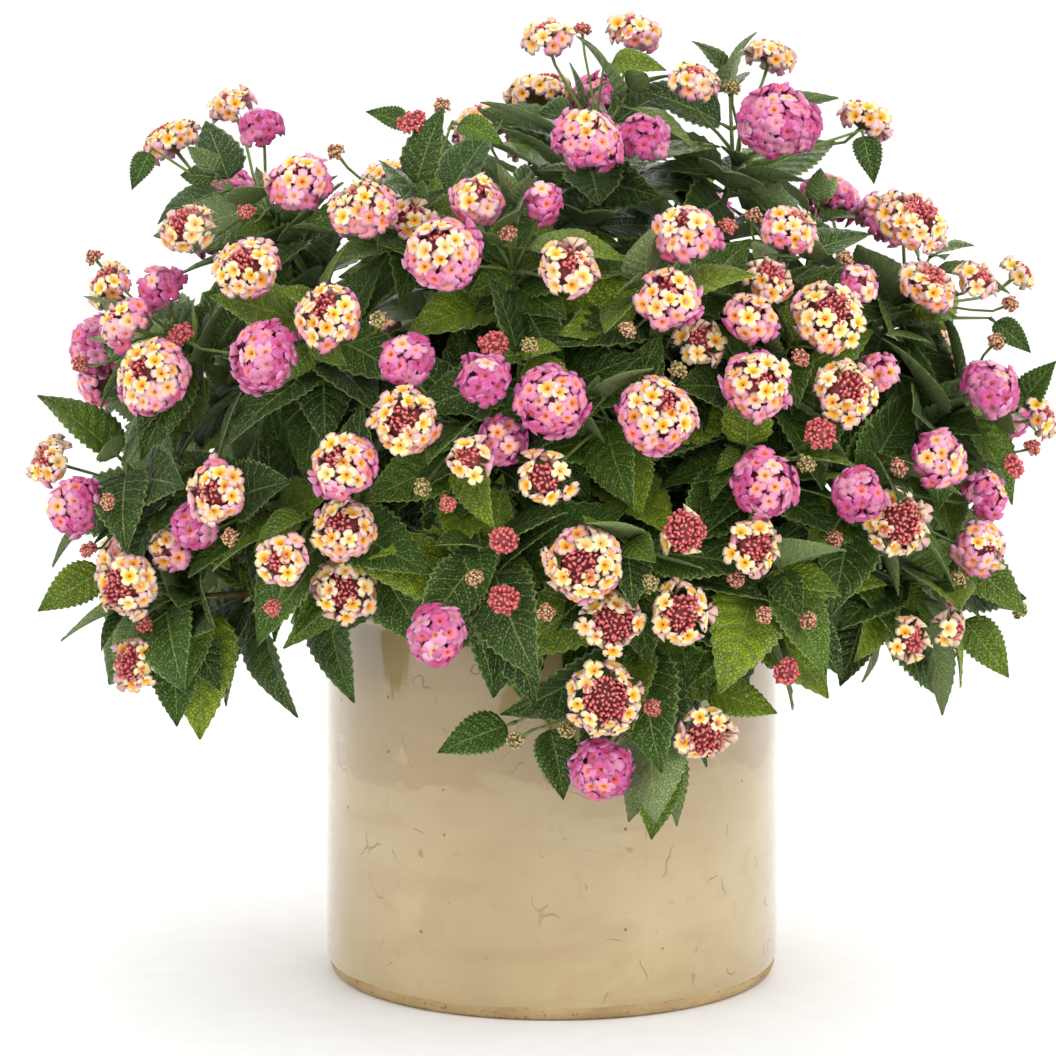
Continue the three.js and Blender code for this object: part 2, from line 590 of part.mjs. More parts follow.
// The solids of a plan, and how often they cross each other or what is in place.
function tested(plan) {
  const stem = beamSolid(plan.sections[0], plan.sections.at(-1), 0);
  const stalks = plan.stalks.map((stalk) => ({
    head: headSolid(stalk.head, CLEAR / 2), exact: stalkSolid(plan.sections, stalk), fat: fatStalk(stalk),
    grazes: stalk.to.at.clone().sub(stalk.from.at).normalize().dot(stalk.from.way) < GRAZE,
  }));
  const own = new Set(plan.stalks.map(({ head }) => `head ${head.n}`));
  const isOwn = (owner) => own.has(owner);
  const fatStem = beamSolid(plan.sections[0], plan.sections.at(-1), CLEAR);
  let faults = 2 * crossings(fatStem, isOwn);
  stalks.forEach((a, i) => {
    faults += crossings(a.fat, isOwn) + crossings(a.head, isOwn) + (meet(a.exact, stem) ? 1 : 0);
    faults += (meet(a.head, fatStem) ? 1 : 0) + (a.grazes ? 1 : 0);
    stalks.forEach((b, j) => {
      if (j !== i && (meet(a.fat, b.head) || meet(a.exact, b.head))) faults++;
      if (j < i && (meet(a.exact, b.exact) || meet(a.fat, b.fat) || meet(a.head, b.head))) faults++;
    });
  });
  return { plan, faults, isOwn, solids: [fatStem, ...stalks.flatMap((a) => [a.head, a.exact, a.fat])] };
}
// The places and turns that are tried for a truss's foot.
const TRUSS_TRIES = [0.5, 1.1, 1.7, 2.3].flatMap((skew) =>
  [0, 10, -10, 18, -18].flatMap((sway) =>
    [0, -8, 8, -14, 14, 22].map((deeper) => ({ skew, sway, sink: TRUSS.sink + deeper }))));
function settleTruss(name) {
  let best;
  for (const { skew, sway, sink } of TRUSS_TRIES) {
    const tried = tested(trussPlan(name, sink, sway, skew));
    if (!best || tried.faults < best.faults) best = tried;
    if (best.faults === 0) break;
  }
  placed.splice(0, placed.length, ...placed.filter(({ owner }) => !best.isOwn(owner)));
  for (const solid of best.solids) keep(solid, name);
  return best.plan;
}
keep(crockSolid(), "crock");
const trusses = new Map();
for (const name of [...Object.keys(FRONT), ...Object.keys(REAR)]) trusses.set(name, settleTruss(name));

function growTruss(plan) {
  const skin = new Skin();
  const opens = {};
  const growStalk = ({ to, head }) => (on, ring) => {
    growHead(on, growStem(on, ring, [null, to]), head);
  };
  for (const stalk of plan.stalks.slice(1)) {
    opens[stalk.i] ??= {};
    opens[stalk.i][stalk.s] = growStalk(stalk);
  }
  const root = skin.ring(plan.sections[0]);
  skin.base(root);
  growStalk(plan.stalks[0])(skin, growStem(skin, root, plan.sections, opens));
  return skin;
}

// ---------- branches ----------
const BEND = { out: 0.4, back: 0.35 };
// From `from`, leaving along `way`, round to a truss's foot, higher by `lift` and swayed sideways.
function stemCurve(from, way, { at, aim, hangs }, lift, sway) {
  const far = from.distanceTo(at);
  const side = UP.clone().cross(at.clone().sub(from)).normalize();
  const out = along(along(along(from, way, BEND.out * far), UP, lift), side, sway);
  const back = along(at, aim, hangs ? -HANG.rise - lift : -BEND.back * far);
  return new THREE.CubicBezierCurve3(from, out, along(back, side, sway / 2), at);
}
// Sections along a stem: marks are how far along it stands each node that something grows from.
// It gives back each node as the number of the section that it starts at.
function stemSections(curve, root, { start, from, to, marks, aim }) {
  const far = curve.getLength();
  const stops = start ? [start] : [0];
  const nodes = [];
  for (const mark of [...marks, far + STEM.node]) {
    const gap = mark - STEM.node - stops.at(-1);
    const steps = Math.max(1, Math.round(gap / STEM.step));
    const last = stops.at(-1);
    for (let k = 1; k <= steps; k++) stops.push(last + (gap * k) / steps);
    nodes.push(stops.length - 1);
    if (mark < far) stops.push(mark);
  }
  const thick = (d) => from + ((to - from) * d) / far;
  const sections = sectionsOn(curve, root, stops.map((d) => [Math.min(1, d / far), thick(d)]));
  const end = sections.pop();
  sections.push(section(end.at, aim, carried(end.right, end.way, aim), end.half));
  return { sections, nodes: nodes.slice(0, -1) };
}
// Leaf nodes stand closer together towards the tip.
const WIDER = 5;
function leafMarks(far, bare, most) {
  const marks = [];
  for (let d = far - STEM.room; d > bare && marks.length < most; d -= LEAF.pitch + WIDER * marks.length) {
    marks.unshift(d);
  }
  return marks;
}
const beams = (sections) => sections.slice(1).map((to, i) => beamSolid(sections[i], to, CLEAR));
function stemFaults(solids, name, skipFirst) {
  return solids.reduce((sum, solid, i) => {
    const skip = (o) => (i === 0 && skipFirst.includes(o)) || (i === solids.length - 1 && o === name);
    return sum + crossings(solid, skip);
  }, 0);
}
// Tries curves from straight to strongly bent, and keeps the one that crosses least.
const LIFTS = [0, 14, 28, -12, 42, 60];
const SWAYS = [0, 12, -12, 24, -24, 36, -36];
function settleStem(truss, skipFirst, make) {
  let best;
  for (const sway of SWAYS) {
    for (const lift of LIFTS) {
      const stem = make(lift, sway);
      const solids = beams(stem.sections);
      const faults = stemFaults(solids, truss.name, skipFirst);
      if (!best || faults < best.faults) best = { ...stem, solids, faults, truss };
      if (faults === 0) return best;
    }
  }
  return best;
}
const FORKS = [0.3, 0.43, 0.56]; // where along the main stem its forks leave
const FORK = { start: 9, thick: 0.8, lean: 0.4 }; // first section, share of the main stem, lean along it
const BARE = { main: 0.6, fork: 0.3 }; // the share of a stem, from its foot, that has no leaves
const NODES = { main: 3, fork: 2 }; // leaf nodes, each with a pair of leaves
// A foot stands further out for lower trusses: `near` for those at `level`, `far` at the most.
const FEET = { near: 26, far: 72, level: 330, drop: 0.3, apart: 16, shift: 4 };
const feet = [];
function settleBranch(names, b) {
  const name = `branch_${String(b + 1).padStart(2, "0")}`;
  const [lead, ...others] = names.map((n) => trusses.get(n));
  const middle = mean(names.map((n) => trusses.get(n).at));
  const level = middle.clone().setZ(0).normalize();
  const lower = FEET.drop * (FEET.level - middle.z);
  const reach = THREE.MathUtils.clamp(FEET.near + lower, FEET.near, FEET.far);
  const foot = along(vec(0, 0, SOIL.top + 1), level, reach);
  while (feet.some((other) => other.distanceTo(foot) < FEET.apart)) foot.addScaledVector(level, FEET.shift);
  feet.push(foot);
  const right = level.clone().cross(UP);
  const base = section(foot.clone().setZ(SOIL.top - SOIL.hole + GAP), UP, right, STEM.base);
  const main = settleStem(lead, ["soil"], (lift, sway) => {
    const curve = stemCurve(foot, UP, lead, lift, sway);
    const far = curve.getLength();
    const forks = others.map((_, k) => FORKS[k] * far);
    const marks = [...forks, ...leafMarks(far, BARE.main * far, NODES.main)];
    const sizes = { from: STEM.base, to: STEM.tip, marks, aim: lead.aim };
    const { sections, nodes } = stemSections(curve, base, sizes);
    return { sections: [base, ...sections], nodes: nodes.map((i) => i + 1) };
  });
  const stem = `${name} stem`;
  for (const solid of main.solids) keep(solid, stem);
  const stems = [main];
  main.opens = {};
  main.leafNodes = main.nodes.slice(others.length);
  others.forEach((truss, k) => {
    const i = main.nodes[k];
    const [low, high] = main.sections.slice(i, i + 2);
    const sides = [0, 1, 2, 3].map((s) => ({ s, from: sideSection(low, high, s) }));
    const to = truss.at.clone().sub(low.at).normalize();
    const { s, from } = sides.reduce((a, c) => (c.from.way.dot(to) > a.from.way.dot(to) ? c : a));
    const way = mix(from.way, low.way, FORK.lean).normalize();
    const fork = settleStem(truss, [stem], (lift, sway) => {
      const curve = stemCurve(from.at, way, truss, lift, sway);
      const far = curve.getLength();
      const marks = leafMarks(far, BARE.fork * far, NODES.fork);
      const sizes = { start: FORK.start, from: low.half * FORK.thick, to: STEM.tip, marks, aim: truss.aim };
      const made = stemSections(curve, from, sizes);
      return { sections: [from, ...made.sections], nodes: made.nodes.map((n) => n + 1) };
    });
    for (const solid of fork.solids) keep(solid, stem);
    fork.opens = {};
    fork.leafNodes = fork.nodes;
    main.opens[i] = { [s]: (skin, ring) => {
      skin.close(growStem(skin, ring, fork.sections, fork.opens));
    } };
    stems.push(fork);
  });
  return { name, b, base, stems, main };
}
keep(solidOf(lathed([
  [0, POT.floor], [INNER, POT.floor], [INNER, SOIL.top - SOIL.crown], [0, SOIL.top],
], POT.sides)), "soil");
const branches = BRANCHES.map(settleBranch);

// ---------- leaves on the branches ----------
const TRIES = [
  [0, 0, 1], [22, 0, 1], [-22, 0, 1], [0, 14, 1], [0, -20, 1], [36, -5, 0.9], [-36, -5, 0.9],
  [18, -22, 0.9], [-18, -22, 0.9], [0, 0, 0.78], [26, 8, 0.78], [-26, 8, 0.78], [30, -25, 0.75],
  [-30, -25, 0.75], [0, -32, 0.7], [0, 10, 0.6], [30, 0, 0.6], [-30, 0, 0.6],
]; // turned round the stem and tilted, in degrees, and how large
const TILT = 34;
const STRAY = { tilt: 12, turn: 16 }; // degrees in all
const FACING = { out: 0.9, up: 0.5 }; // how far leaves turn their upper sides outwards and up
const ROOT_CLEAR = 3.5; // past this the blade has to be clear of its own stem too
function leafOn(stem, i, s, n, [turn, tilt, scale]) {
  const from = sideSection(stem.sections[i], stem.sections[i + 1], s);
  const axis = stem.sections[i].way;
  const lean = rad(TILT + tilt + STRAY.tilt * (draw(n, 1) - 0.5));
  const way = from.way.clone().multiplyScalar(Math.cos(lean)).addScaledVector(axis, Math.sin(lean))
    .applyAxisAngle(axis, rad(turn + STRAY.turn * (draw(n, 2) - 0.5)));
  const out = from.at.clone().sub(CANOPY.middle).normalize();
  const face = flat(along(along(axis, out, FACING.out), UP, FACING.up), way);
  const length = LEAF.length * scale * (1 + LEAF.spread * (2 * draw(n, 3) - 1));
  return { at: from.at, way, face, length };
}
// Grows a leaf out of side s of the node that starts at section i, if one fits there.
let leaves = 0;
function settleLeaf(branch, stem, i, s, n) {
  const own = `${branch.name} stem`;
  for (const variant of TRIES) {
    const leaf = leafOn(stem, i, s, n, variant);
    const whole = leafSolid(leaf, CLEAR);
    if (crossings(whole, (o) => o === own)) continue;
    const blade = leafSolid({ ...leaf, at: along(leaf.at, leaf.way, ROOT_CLEAR) }, 0);
    if (crossings(blade, (o) => o !== own)) continue;
    keep(leafSolid(leaf, 0), `${branch.name} leaf`);
    stem.opens[i] ??= {};
    stem.opens[i][s] = (skin, ring) => growLeaf(skin, turned(skin, ring, leaf.face), leaf);
    leaves++;
    return;
  }
}
for (let k = 0; k < NODES.main; k++) {
  for (const branch of branches) {
    branch.stems.forEach((stem, m) => {
      const node = stem.leafNodes.at(-1 - k);
      if (node === undefined) return;
      for (const s of [k % 2, (k % 2) + 2]) {
        if (leaves < LEAF_LIMIT) settleLeaf(branch, stem, node, s, 97 * branch.b + 31 * m + 7 * k + s);
      }
    });
  }
}
function growBranch({ base, main }) {
  const skin = new Skin();
  const root = skin.ring(base);
  skin.base(root);
  skin.close(growStem(skin, root, main.sections, main.opens));
  return skin;
}

// ---------- the parts ----------
const COLOURS = {
  pot: [0xd9cba6, 0.25], soil: [0x3a2c22, 0.95], branch: [0x3f6b33, 0.6],
  young: [0xf3dfa0, 0.6], faded: [0xc867a6, 0.6],
};
function part(name, geometry, [colour, roughness]) {
  const flatShaded = geometry.index ? geometry.toNonIndexed() : geometry;
  flatShaded.computeVertexNormals();
  const material = new THREE.MeshStandardMaterial({ color: colour, roughness, metalness: 0 });
  const mesh = new THREE.Mesh(flatShaded, material);
  mesh.name = name;
  return mesh;
}
const group = new THREE.Group();
group.add(part("pot", potGeometry(), COLOURS.pot));
group.add(part("soil", soilGeometry(branches.map((b) => b.base)), COLOURS.soil));
for (const branch of branches) group.add(part(branch.name, growBranch(branch).geometry(), COLOURS.branch));
for (const truss of trusses.values()) {
  const ages = truss.stalks.filter(({ head }) => !head.bud).map(({ head }) => head.age);
  const age = ages.reduce((a, b) => a + b, 0) / ages.length;
  const colour = new THREE.Color(COLOURS.young[0]).lerp(new THREE.Color(COLOURS.faded[0]), age);
  group.add(part(`truss_${truss.name}`, growTruss(truss).geometry(), [colour, COLOURS.young[1]]));
}
export default group;
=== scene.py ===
"""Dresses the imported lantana.

The frame's coarse flower heads, leaves and stems say where everything is. Each is read back from its
node's mesh, and fine florets, buds, quilted leaves and round stems are grown in the same places.
Lengths are in metres.
"""
from math import atan, cos, hypot, pi, radians, sin, sqrt
from types import SimpleNamespace as Named

import bmesh
import bpy
import numpy as np
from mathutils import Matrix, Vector, noise
from numpy.linalg import norm


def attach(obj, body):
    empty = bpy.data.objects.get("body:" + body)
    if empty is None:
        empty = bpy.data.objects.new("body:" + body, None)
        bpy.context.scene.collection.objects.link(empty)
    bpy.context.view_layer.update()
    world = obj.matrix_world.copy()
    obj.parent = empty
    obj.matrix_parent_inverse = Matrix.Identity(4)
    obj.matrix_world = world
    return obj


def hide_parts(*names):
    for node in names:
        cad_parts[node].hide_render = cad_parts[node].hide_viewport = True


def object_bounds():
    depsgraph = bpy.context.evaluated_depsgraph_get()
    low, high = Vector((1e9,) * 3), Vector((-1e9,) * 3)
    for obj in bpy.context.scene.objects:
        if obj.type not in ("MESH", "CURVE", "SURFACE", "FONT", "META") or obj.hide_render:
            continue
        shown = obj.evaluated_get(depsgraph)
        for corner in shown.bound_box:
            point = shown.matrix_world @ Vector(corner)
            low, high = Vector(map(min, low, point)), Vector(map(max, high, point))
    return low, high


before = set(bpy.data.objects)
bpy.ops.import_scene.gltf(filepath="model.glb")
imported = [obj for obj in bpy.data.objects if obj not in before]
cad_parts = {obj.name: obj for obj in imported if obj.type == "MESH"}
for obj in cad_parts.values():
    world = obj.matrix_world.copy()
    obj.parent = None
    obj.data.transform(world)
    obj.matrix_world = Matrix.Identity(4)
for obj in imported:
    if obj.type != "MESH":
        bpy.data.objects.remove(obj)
cad_box = [list(corner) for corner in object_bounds()]

MM = 0.001
UP = np.array([0.0, 0.0, 1.0])
FORWARD = np.array([0.0, -1.0, 0.0])
SIDEWAYS = np.array([1.0, 0.0, 0.0])

# ---------- what the CAD forms are ----------
LEAF = Named(petiole=0.13, midrib=0.38, arch=0.17, width=0.54)
# By its number of bosses: the leans of a head's lowest florets, from the top.
LOW_LEAN = {13: radians(97), 11: radians(97), 6: radians(82), 5: radians(97)}
BUD_BOSSES = 5
RIB_NEIGHBOURS = 12  # only a leaf's two midrib corners have so many
DEPTH = Named(young=0.6, faded=0.9)  # of a head, of its radius
HEAD_SHARE = 0.96  # CAD heads are this share of the real width
POT = Named(
    radius=112 * MM, height=212 * MM, wall=9 * MM, floor=12 * MM, foot=7 * MM,
    bevel=5 * MM, collar=30 * MM, out=2 * MM, round=4 * MM, sides=144,
    drains=3, drain=5 * MM, drain_ring=62 * MM,
)
SOIL = Named(
    top=187 * MM, crown=5 * MM, gap=0.3 * MM, lumps=1.6 * MM, rings=26, sides=84,
    crumbs=420, pale=0.09, pale_size=(0.9, 1.6), dark_size=(0.8, 2.6),  # sizes in mm
)

# ---------- fine detail ----------
BLADE = Named(thick=0.45 * MM, fold=0.4, quilt=0.85 * MM, veins=8, slant=0.22, teeth=0.06)
# How leaves differ: their folds' share of the usual one, their twist in degrees, and the rest as shares.
HABIT = Named(
    fold=(0.4, 1.5), ripple=(0.02, 0.05), twist=(-16, 16), bend=(-0.05, 0.05), curl=(0, 0.06),
)
FLORET = Named(
    radius=5.6 * MM, spacing=0.685, lift=0.9, tube=1.6,
    sizes=(0.9, 1.08), strays=0.04, turns=0.05, out=0.8 * MM, askew=0.23, uneven=0.09,
)
BUD = Named(
    radius=1.0 * MM, spacing=2.1 * MM, unripe=0.84,  # unripe: the share of it in green heads
    sunk=(2.6, 4.4), sizes=(0.8, 1.2), askew=0.16, uneven=0.08,
)
STALK = Named(stem=1.75 * MM, foot=1.25 * MM, slim=0.8 * MM, neck=1.05 * MM)
GOLDEN = pi * (3 - sqrt(5))

# The camera stands where the photograph was taken from, and looks down by LOOK_DOWN.
EYE = (-12 * MM, -1604 * MM, 405 * MM)
LOOK_DOWN = radians(6.6)
LENS = 111.8
SENSOR = 36
PHOTO_SIDE = 1056  # pixels


# ---------- small helpers ----------
def unit(v):
    return v / norm(v, axis=-1, keepdims=True)


def flat(v, axis):
    """The part of a direction that is square on to an axis."""
    return unit(v - axis * (v @ axis))


def turned(v, axis, angle):
    """v turned about a unit axis."""
    c, s = cos(angle), sin(angle)
    return v * c + np.cross(axis, v) * s + axis * (axis @ v) * (1 - c)


def circle(count):
    """The angles of so many places round a circle."""
    return np.arange(count) * 2 * pi / count


def ring(turns, r, z):
    """Corners round the upright axis, at radii and heights that may be the same for all."""
    return np.stack([r * np.cos(turns), r * np.sin(turns), z * np.ones(len(turns))], 1)


def draws(*seed):
    """Random numbers of their own for each thing that is grown."""
    return np.random.default_rng(seed)


def placed(name, data):
    """A new object in the scene."""
    thing = bpy.data.objects.new(name, data)
    bpy.context.scene.collection.objects.link(thing)
    return thing


def set_down(name, mesh):
    """Turns an edited mesh into an object."""
    data = bpy.data.meshes.new(name)
    mesh.to_mesh(data)
    mesh.free()
    return placed(name, data)


def modified(thing):
    """An object as its modifiers leave it."""
    return thing.evaluated_get(bpy.context.evaluated_depsgraph_get())


# ---------- reading the frame ----------
class Shape:
    """A CAD node's mesh with its corners joined again."""

    def __init__(self, name):
        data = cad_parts[name].data
        data.calc_loop_triangles()
        raw = np.array([v.co for v in data.vertices])
        corners = np.array([t.vertices for t in data.loop_triangles])
        keys = np.round(raw / (0.001 * MM)).astype(np.int64)
        _, first, place = np.unique(keys, axis=0, return_index=True, return_inverse=True)
        self.points = raw[first]
        self.faces = place.reshape(-1)[corners]
        self.near = [set() for _ in self.points]
        for face in self.faces.tolist():
            for v in face:
                self.near[v].update(face)
        for v, near in enumerate(self.near):
            near.discard(v)

    def middle(self, vertices):
        return self.points[sorted(vertices)].mean(axis=0)


def read_head(shape, creases):
    """A head from its creases: place, way it faces, radius, depth, age, and its neck and stalk's root."""
    bosses = set().union(*(shape.near[c] for c in creases))
    own = bosses | creases
    low = {b for b in bosses if shape.near[b] - own}
    inner = bosses - low
    top = next((b for b in inner if not shape.near[b] & low), min(inner))
    neck = set().union(*(shape.near[b] for b in low)) - own
    root = set().union(*(shape.near[v] for v in neck)) - own - neck
    lean = LOW_LEAN[len(bosses)]
    axis = shape.points[top] - shape.middle(low)
    face = unit(axis)
    height = norm(axis) / (1 - cos(lean))
    spread = [norm(np.cross(shape.points[b] - shape.points[top], face)) for b in low]
    radius = np.mean(spread) / sin(lean)
    age = (height / radius - DEPTH.young) / (DEPTH.faded - DEPTH.young)
    return Named(
        at=shape.points[top] - face * height, face=face, radius=radius / HEAD_SHARE,
        depth=height / radius, age=min(1.0, max(0.0, age)), bud=len(bosses) == BUD_BOSSES,
        neck=shape.middle(neck), root=shape.middle(root), own=own, ring=neck,
    )


def read_heads(shape):
    """Only the creases between florets have three neighbours. Those of a head share their bosses."""
    left = {v for v, near in enumerate(shape.near) if len(near) == 3}
    heads = []
    while left:
        creases, queue = set(), [min(left)]
        while queue:
            crease = queue.pop()
            if crease in left:
                left.discard(crease)
                creases.add(crease)
                for boss in shape.near[crease]:
                    queue.extend(sorted(shape.near[boss] & left))
        heads.append(read_head(shape, creases))
    return heads


def hub_of(shape, group):
    """A truss's foot, and the way its short stem runs."""
    used = set().union(*(head.own | head.ring for head in group))
    hub = shape.points[[v for v in range(len(shape.points)) if v not in used]]
    middle = hub.mean(axis=0)
    axis = np.linalg.svd(hub - middle)[2][0]
    outwards = np.mean([head.at for head in group], axis=0) - middle
    axis = axis if axis @ outwards > 0 else -axis
    return middle + axis * ((hub - middle) @ axis).min(), axis


def read_leaves(shape):
    """A leaf from the two corners of its midrib, one on each side, and its tip."""
    ribs = [v for v, near in enumerate(shape.near) if len(near) == RIB_NEIGHBOURS]
    pairs = [(a, b) for i, a in enumerate(ribs) for b in ribs[i + 1:]
             if len(shape.near[a] & shape.near[b]) == RIB_NEIGHBOURS - 1]
    leaves = []
    for pair in pairs:
        shared = shape.near[pair[0]] & shape.near[pair[1]]
        middle = shape.middle(pair)
        tip = max(shared, key=lambda v: norm(shape.points[v] - middle))
        collar = [min(shape.near[a] - shared) for a in pair]
        face = unit(shape.points[pair[0]] - shape.points[pair[1]])
        run = shape.points[tip] - middle
        if run @ face > 0:
            face = -face
        share = LEAF.petiole + (1 - LEAF.petiole) * LEAF.midrib
        way = run - face * (run @ face)
        length = norm(way) / (1 - share)
        way = unit(way)
        at = middle - way * length * share + face * LEAF.arch * length * share**2
        own = shared | set(pair) | set(collar) | (shape.near[collar[0]] & shape.near[collar[1]])
        leaves.append(Named(at=at, way=way, face=face, length=length, own=own))
    return leaves


def rounded(shape, gone):
    """What is left of a node without some of its corners, with its holes filled, as smooth round stems."""
    mesh = bmesh.new()
    keep = [face for face in shape.faces.tolist() if not gone & set(face)]
    made = {v: mesh.verts.new(shape.points[v]) for v in sorted(set(v for face in keep for v in face))}
    for face in keep:
        mesh.faces.new([made[v] for v in face])
    rims = [e for e in mesh.edges if len(e.link_faces) == 1]
    bmesh.ops.holes_fill(mesh, edges=rims, sides=4)
    flat_enough, square_enough = radians(40), radians(60)
    bmesh.ops.join_triangles(
        mesh, faces=mesh.faces, angle_face_threshold=flat_enough, angle_shape_threshold=square_enough)
    holder = set_down("coarse", mesh)
    holder.modifiers.new("round", "SUBSURF").levels = 1
    smooth = modified(holder).to_mesh()
    smooth.calc_loop_triangles()
    points = np.array([v.co for v in smooth.vertices])
    faces = np.array([t.vertices for t in smooth.loop_triangles])
    bpy.data.meshes.remove(holder.data)
    return points, faces


RING_SPAN = 8 * MM  # wider than a stem's section


def stem_rings(shape, gone):
    """The middle of each section of a branch's stems, and the way that its stem runs there."""
    left = [v for v in range(len(shape.points)) if v not in gone]
    foot = shape.points[min(left, key=lambda v: shape.points[v][2])]
    rings, taken = [], set()
    for v in left:
        if v in taken:
            continue
        near = norm(shape.points - shape.points[v], axis=1) < RING_SPAN
        group = {w for w in left if near[w] and w not in taken}
        taken |= group
        middle = shape.middle(group)
        beyond = sorted(set().union(*(shape.near[w] for w in group)) - group - gone)
        if beyond and norm(middle - foot) > RING_SPAN:
            runs = unit(shape.points[beyond] - middle)
            runs *= np.where(runs @ (middle - foot) < 0, -1, 1)[:, None]
            rings.append((middle, unit(runs.sum(axis=0))))
    return rings


# ---------- pieces ----------
class Piece:
    """Surfaces of several materials that are gathered into one object."""

    def __init__(self):
        self.parts = []
        self.count = 0

    def add(self, points, faces, material, look=(0, 0, 0), tone=0.5, even=None):
        """look and tone steer the material, which may differ by face. `even` marks faces shaded flat."""
        n = len(points)
        kinds, place = np.unique(material, return_inverse=True)
        index = np.array([MATERIALS.index(kind) for kind in kinds])[place.reshape(-1)]
        self.parts.append((
            np.asarray(points), np.asarray(faces) + self.count, np.broadcast_to(index, len(faces)),
            np.broadcast_to(np.asarray(look, float), (n, 3)), np.broadcast_to(np.asarray(tone, float), n),
            np.ones(len(faces), bool) if even is None else ~even))
        self.count += n

    def build(self, name, slot, *nodes):
        columns = zip(*self.parts)
        points, faces, material, look, tone, smooth = (np.concatenate(column) for column in columns)
        mesh = bpy.data.meshes.new(name)
        mesh.vertices.add(len(points))
        mesh.vertices.foreach_set("co", points.ravel())
        mesh.loops.add(3 * len(faces))
        mesh.loops.foreach_set("vertex_index", faces.ravel())
        mesh.polygons.add(len(faces))
        mesh.polygons.foreach_set("loop_start", np.arange(0, 3 * len(faces), 3))
        kinds, index = np.unique(material, return_inverse=True)
        for kind in kinds:
            mesh.materials.append(bpy.data.materials[MATERIALS[kind]])
        mesh.polygons.foreach_set("material_index", index.reshape(-1))
        mesh.polygons.foreach_set("use_smooth", smooth)
        mesh.attributes.new("look", "FLOAT_VECTOR", "POINT").data.foreach_set("vector", look.ravel())
        mesh.attributes.new("tone", "FLOAT", "POINT").data.foreach_set("value", tone)
        mesh.update(calc_edges=True)
        piece = placed(name, mesh)
        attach(piece, "root")
        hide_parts(*nodes)
        return piece


MATERIALS = ["glaze", "bare_clay", "potting_soil", "soil_crumb", "bark", "leaf", "petal", "flower_bud"]


def grid_faces(rows, columns, around=False):
    """Triangles over a grid of points, row by row. `around` joins the last column to the first."""
    row = np.arange(rows - 1)[:, None] * columns
    column = np.arange(columns if around else columns - 1)[None, :]
    a, b = row + column, row + (column + 1) % columns
    c, d = a + columns, b + columns
    quads = np.stack([a, c, b, b, c, d], axis=-1)
    return quads.reshape(-1, 3)


def fan(centre, ring):
    """Triangles from one corner to each side of a closed ring of corners."""
    return np.stack([np.full(len(ring), centre), ring, np.roll(ring, -1)], 1)


def tube(line, radii, sides):
    """A closed round tube along a line of points."""
    line = np.asarray(line, float)
    ways = unit(np.gradient(line, axis=0))
    right = unit(np.cross(ways[0], UP if abs(ways[0][2]) < 0.9 else SIDEWAYS))
    turn = circle(sides)
    rings = []
    for at, way, radius in zip(line, ways, radii):
        right = flat(right, way)
        up = np.cross(way, right)
        rings.append(at + radius * (np.outer(np.cos(turn), right) + np.outer(np.sin(turn), up)))
    body = grid_faces(len(line), sides, around=True)[:, ::-1]
    count = len(line) * sides
    start, end = fan(count, np.arange(sides))[:, ::-1], fan(count + 1, np.arange(count - sides, count))
    return np.concatenate([*rings, line[:1], line[-1:]]), np.concatenate([body, start, end])


# ---------- leaves ----------
def blade_half(s):
    """Half the width of a blade at each share of its length, from 0 to 1 at its widest."""
    return s**0.5 * (1 - s) ** 1.1 / 0.37


class LeafForm:
    """The grid of a blade: a quilted upper sheet and a plainer one just under it, joined round the rim."""

    def __init__(self, rows, half_columns):
        rows += 1
        widths = (2 * half_columns + 1, 3)
        along = np.linspace(0.004, 0.985, rows)
        sheets = [np.meshgrid(along, np.linspace(-1, 1, width), indexing="ij") for width in widths]
        self.s, self.t = (np.concatenate([sheet[k].ravel() for sheet in sheets]) for k in (0, 1))
        self.under = np.repeat([0.0, 1.0], [rows * w for w in widths])
        tooth = np.concatenate([np.repeat(np.arange(rows) % 2, w) for w in widths])
        rim = np.abs(self.t) > 0.99
        self.reach = np.where(rim, 1 + BLADE.teeth * (2 * tooth - 1), 1)
        inner = (self.s > 0.02) & (self.s < 0.97)
        self.s = self.s + np.where(rim & inner, 0.3 * tooth / rows, 0)
        top = np.arange(rows * widths[0]).reshape(rows, -1)
        low = top.size + np.arange(rows * 3).reshape(rows, 3)
        left, right = self.band(top[:, 0], low[:, 0]), self.band(top[:, -1], low[:, -1])[:, ::-1]
        base = self.end(top[0], low[0], half_columns)
        tip = self.end(top[-1], low[-1], half_columns)[:, ::-1]
        sheets = [grid_faces(rows, widths[0]), grid_faces(rows, 3)[:, ::-1] + top.size]
        self.faces = np.concatenate([*sheets, left, right, base, tip])
        self.even = np.arange(len(self.faces)) >= sum(map(len, sheets))

    @staticmethod
    def band(top, low):
        return np.concatenate([
            np.stack([top[:-1], low[:-1], top[1:]], 1), np.stack([top[1:], low[:-1], low[1:]], 1)])

    @staticmethod
    def end(top, low, half):
        """Closes an end of the blade: the upper row's points against the three of the lower row."""
        fans = [(top[k], top[k + 1], low[0 if k < half else 2]) for k in range(2 * half)]
        return np.array(fans + [(top[half], low[1], low[0]), (top[half], low[2], low[1])])


LARGE = LeafForm(26, 3)
SMALL = LeafForm(15, 2)
PETIOLE_RADIUS = 0.85 * MM


